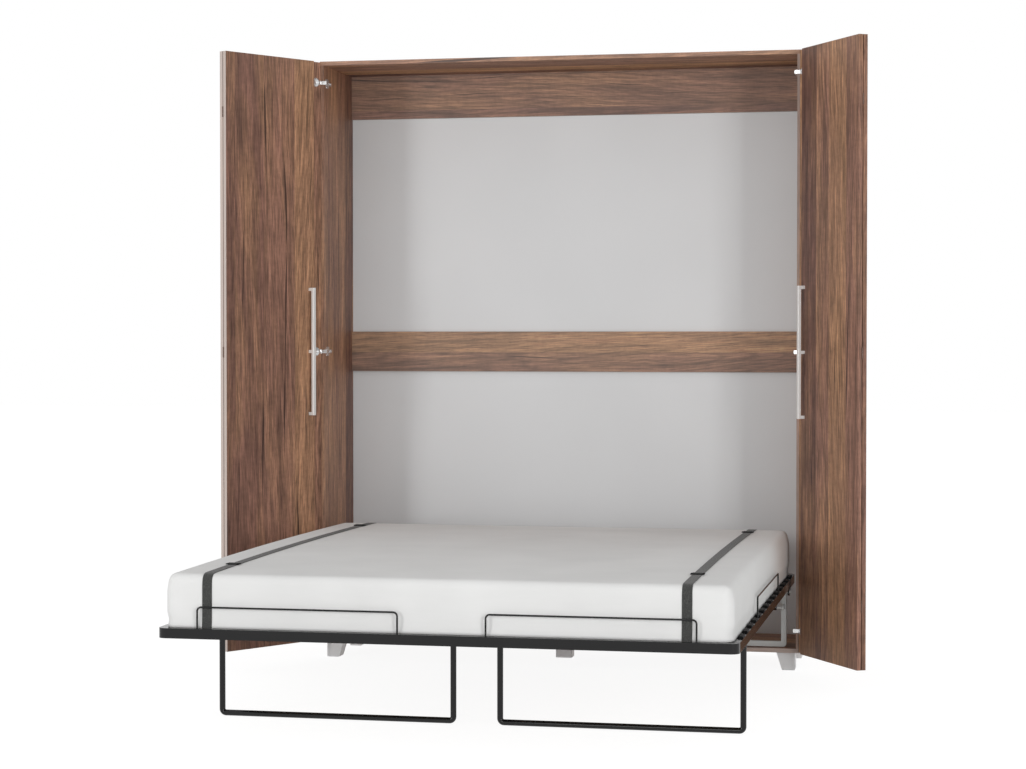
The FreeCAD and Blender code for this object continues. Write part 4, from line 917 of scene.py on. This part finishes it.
def cross_screw(bm, place, out):
    """A low screw head with a cross recess, standing on a face that looks along out."""
    turn = out.to_track_quat("Z", "X").to_matrix().to_4x4()
    move = Matrix.Translation(place) @ turn
    rim = ring(bm, SCREW_R, 0)
    lip = ring(bm, SCREW_TOP_R, SCREW_H)
    for number in range(SCREW_SIDES):
        after = (number + 1) % SCREW_SIDES
        bm.faces.new((rim[number], rim[after], lip[after], lip[number]))
    w = RECESS_W / 2
    r = RECESS_L
    plus = [(r, w), (w, w), (w, r), (-w, r), (-w, w), (-r, w),
            (-r, -w), (-w, -w), (-w, -r), (w, -r), (w, -w), (r, -w)]
    mouth = [bm.verts.new((x, y, SCREW_H)) for x, y in plus]
    low = SCREW_H - RECESS_DEPTH
    floor = [bm.verts.new((x * RECESS_TAPER, y * RECESS_TAPER, low)) for x, y in plus]
    edges = []
    for loop in (lip, mouth):
        for number, vert in enumerate(loop):
            after = loop[(number + 1) % len(loop)]
            edges.append(bm.edges.get((vert, after)) or bm.edges.new((vert, after)))
    bmesh.ops.triangle_fill(bm, use_beauty=True, edges=edges)
    for number in range(len(plus)):
        after = (number + 1) % len(plus)
        bm.faces.new((mouth[number], floor[number], floor[after], mouth[after]))
    bm.faces.new(floor)
    bmesh.ops.transform(bm, matrix=move, verts=rim + lip + mouth + floor)


def ring(bm, radius, z):
    """Vertices round a level circle, for a screw's head."""
    angles = [2 * math.pi * number / SCREW_SIDES for number in range(SCREW_SIDES)]
    return [bm.verts.new((radius * math.cos(angle), radius * math.sin(angle), z)) for angle in angles]


def hinge_heights():
    """Middle heights of the three hinges on a door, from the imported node."""
    low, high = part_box("right_hinge_arms")
    return (low.z + HINGE_PLATE_H / 2, (low.z + high.z) / 2, high.z - HINGE_PLATE_H / 2)


def hinge_screws(material):
    """Two screws in each hinge arm, on the cabinet's inner sides."""
    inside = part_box("right_hinge_arms")[0].x
    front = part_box("right_side_panel")[0].y
    bm = bmesh.new()
    for side in (-1, 1):
        for z in hinge_heights():
            for depth in ARM_SCREWS:
                cross_screw(bm, Vector((side * inside, front + depth, z)), Vector((-side, 0, 0)))
    mesh_object("hinge_arm_screws", finished(bm, "hinge_arm_screws"), material, "cabinet")


# Studio

def studio_floor():
    """A pale floor that the camera and shiny things see as white, with the object's shadow kept."""
    mesh = bpy.data.meshes.new("floor")
    corners = [(x * FLOOR_HALF, y * FLOOR_HALF, 0) for x, y in ((-1, -1), (1, -1), (1, 1), (-1, 1))]
    mesh.from_pydata(corners, [], [(0, 1, 2, 3)])
    floor = bpy.data.objects.new("floor", mesh)
    bpy.context.scene.collection.objects.link(floor)
    shade = Shader("floor")
    haze = shade.noise((0.4, 0.4, 0.4), 2.0)
    shade.set(Base_Color=shade.ramp(haze, [(0.3, 0.86), (0.7, 0.88)]), Roughness=0.9, Specular_IOR_Level=0.0)
    glow = shade.add("ShaderNodeEmission", {"Color": (1, 1, 1, 1), "Strength": FLOOR_GLOW})
    path = shade.add("ShaderNodeLightPath")
    seen = shade.math("MAXIMUM", path.outputs["Is Camera Ray"], path.outputs["Is Glossy Ray"])
    seen = shade.math("MAXIMUM", seen, path.outputs["Is Transmission Ray"])
    blend = shade.add("ShaderNodeMixShader", {
        "Fac": shade.math("MULTIPLY", seen, GLOW_SHARE),
        1: shade.surface.outputs["BSDF"],
        2: glow.outputs["Emission"],
    })
    output = shade.tree.nodes["Material Output"]
    shade.tree.links.new(blend.outputs["Shader"], output.inputs["Surface"])
    mesh.materials.append(shade.material)


def studio_world():
    """White surroundings for the camera and for shiny things, at a lower level as light."""
    world = bpy.data.worlds.new("studio")
    world.use_nodes = True
    bpy.context.scene.world = world
    links = world.node_tree.links
    make = world.node_tree.nodes.new
    sky = world.node_tree.nodes["Background"]
    sky.inputs["Color"].default_value = (1, 1, 1, 1)
    rays = make("ShaderNodeLightPath")
    seen = rays.outputs["Is Camera Ray"]
    for kind in ("Is Glossy Ray", "Is Transmission Ray"):
        either = make("ShaderNodeMath")
        either.operation = "MAXIMUM"
        links.new(seen, either.inputs[0])
        links.new(rays.outputs[kind], either.inputs[1])
        seen = either.outputs["Value"]
    level = make("ShaderNodeMapRange")
    level.inputs["To Min"].default_value = WORLD_LIGHT
    level.inputs["To Max"].default_value = 1.0
    links.new(seen, level.inputs["Value"])
    links.new(level.outputs["Result"], sky.inputs["Strength"])


def lamp(name, place, aim, wide, tall, watts):
    """A soft rectangular lamp."""
    data = bpy.data.lights.new(name, "AREA")
    data.shape = "RECTANGLE"
    data.size = wide
    data.size_y = tall
    data.energy = watts
    made = bpy.data.objects.new(name, data)
    made.location = place
    made.rotation_euler = (Vector(aim) - Vector(place)).to_track_quat("-Z", "Y").to_euler()
    bpy.context.scene.collection.objects.link(made)


def camera():
    """The photograph's camera, upright."""
    data = bpy.data.cameras.new("camera")
    data.sensor_width = SENSOR_W
    data.lens = FOCAL_PX / IMAGE_W * SENSOR_W
    data.clip_end = CLIP_END
    made = bpy.data.objects.new("camera", data)
    made.location = CAMERA_PLACE
    level = math.cos(CAMERA_PITCH)
    ahead = Vector((-math.sin(CAMERA_YAW) * level, math.cos(CAMERA_YAW) * level, -math.sin(CAMERA_PITCH)))
    made.rotation_euler = ahead.to_track_quat("-Z", "Y").to_euler()
    bpy.context.scene.collection.objects.link(made)
    bpy.context.scene.camera = made


bpy.context.scene.view_settings.view_transform = "Standard"
camera()
shared = paint_nodes()
cover = mattress_cover(knit())
straps_and_sliders(cover, webbing(), shared["plastic"])
hinge_screws(shared["chrome"])
studio_floor()
studio_world()
for settings in LAMPS:
    lamp(*settings)
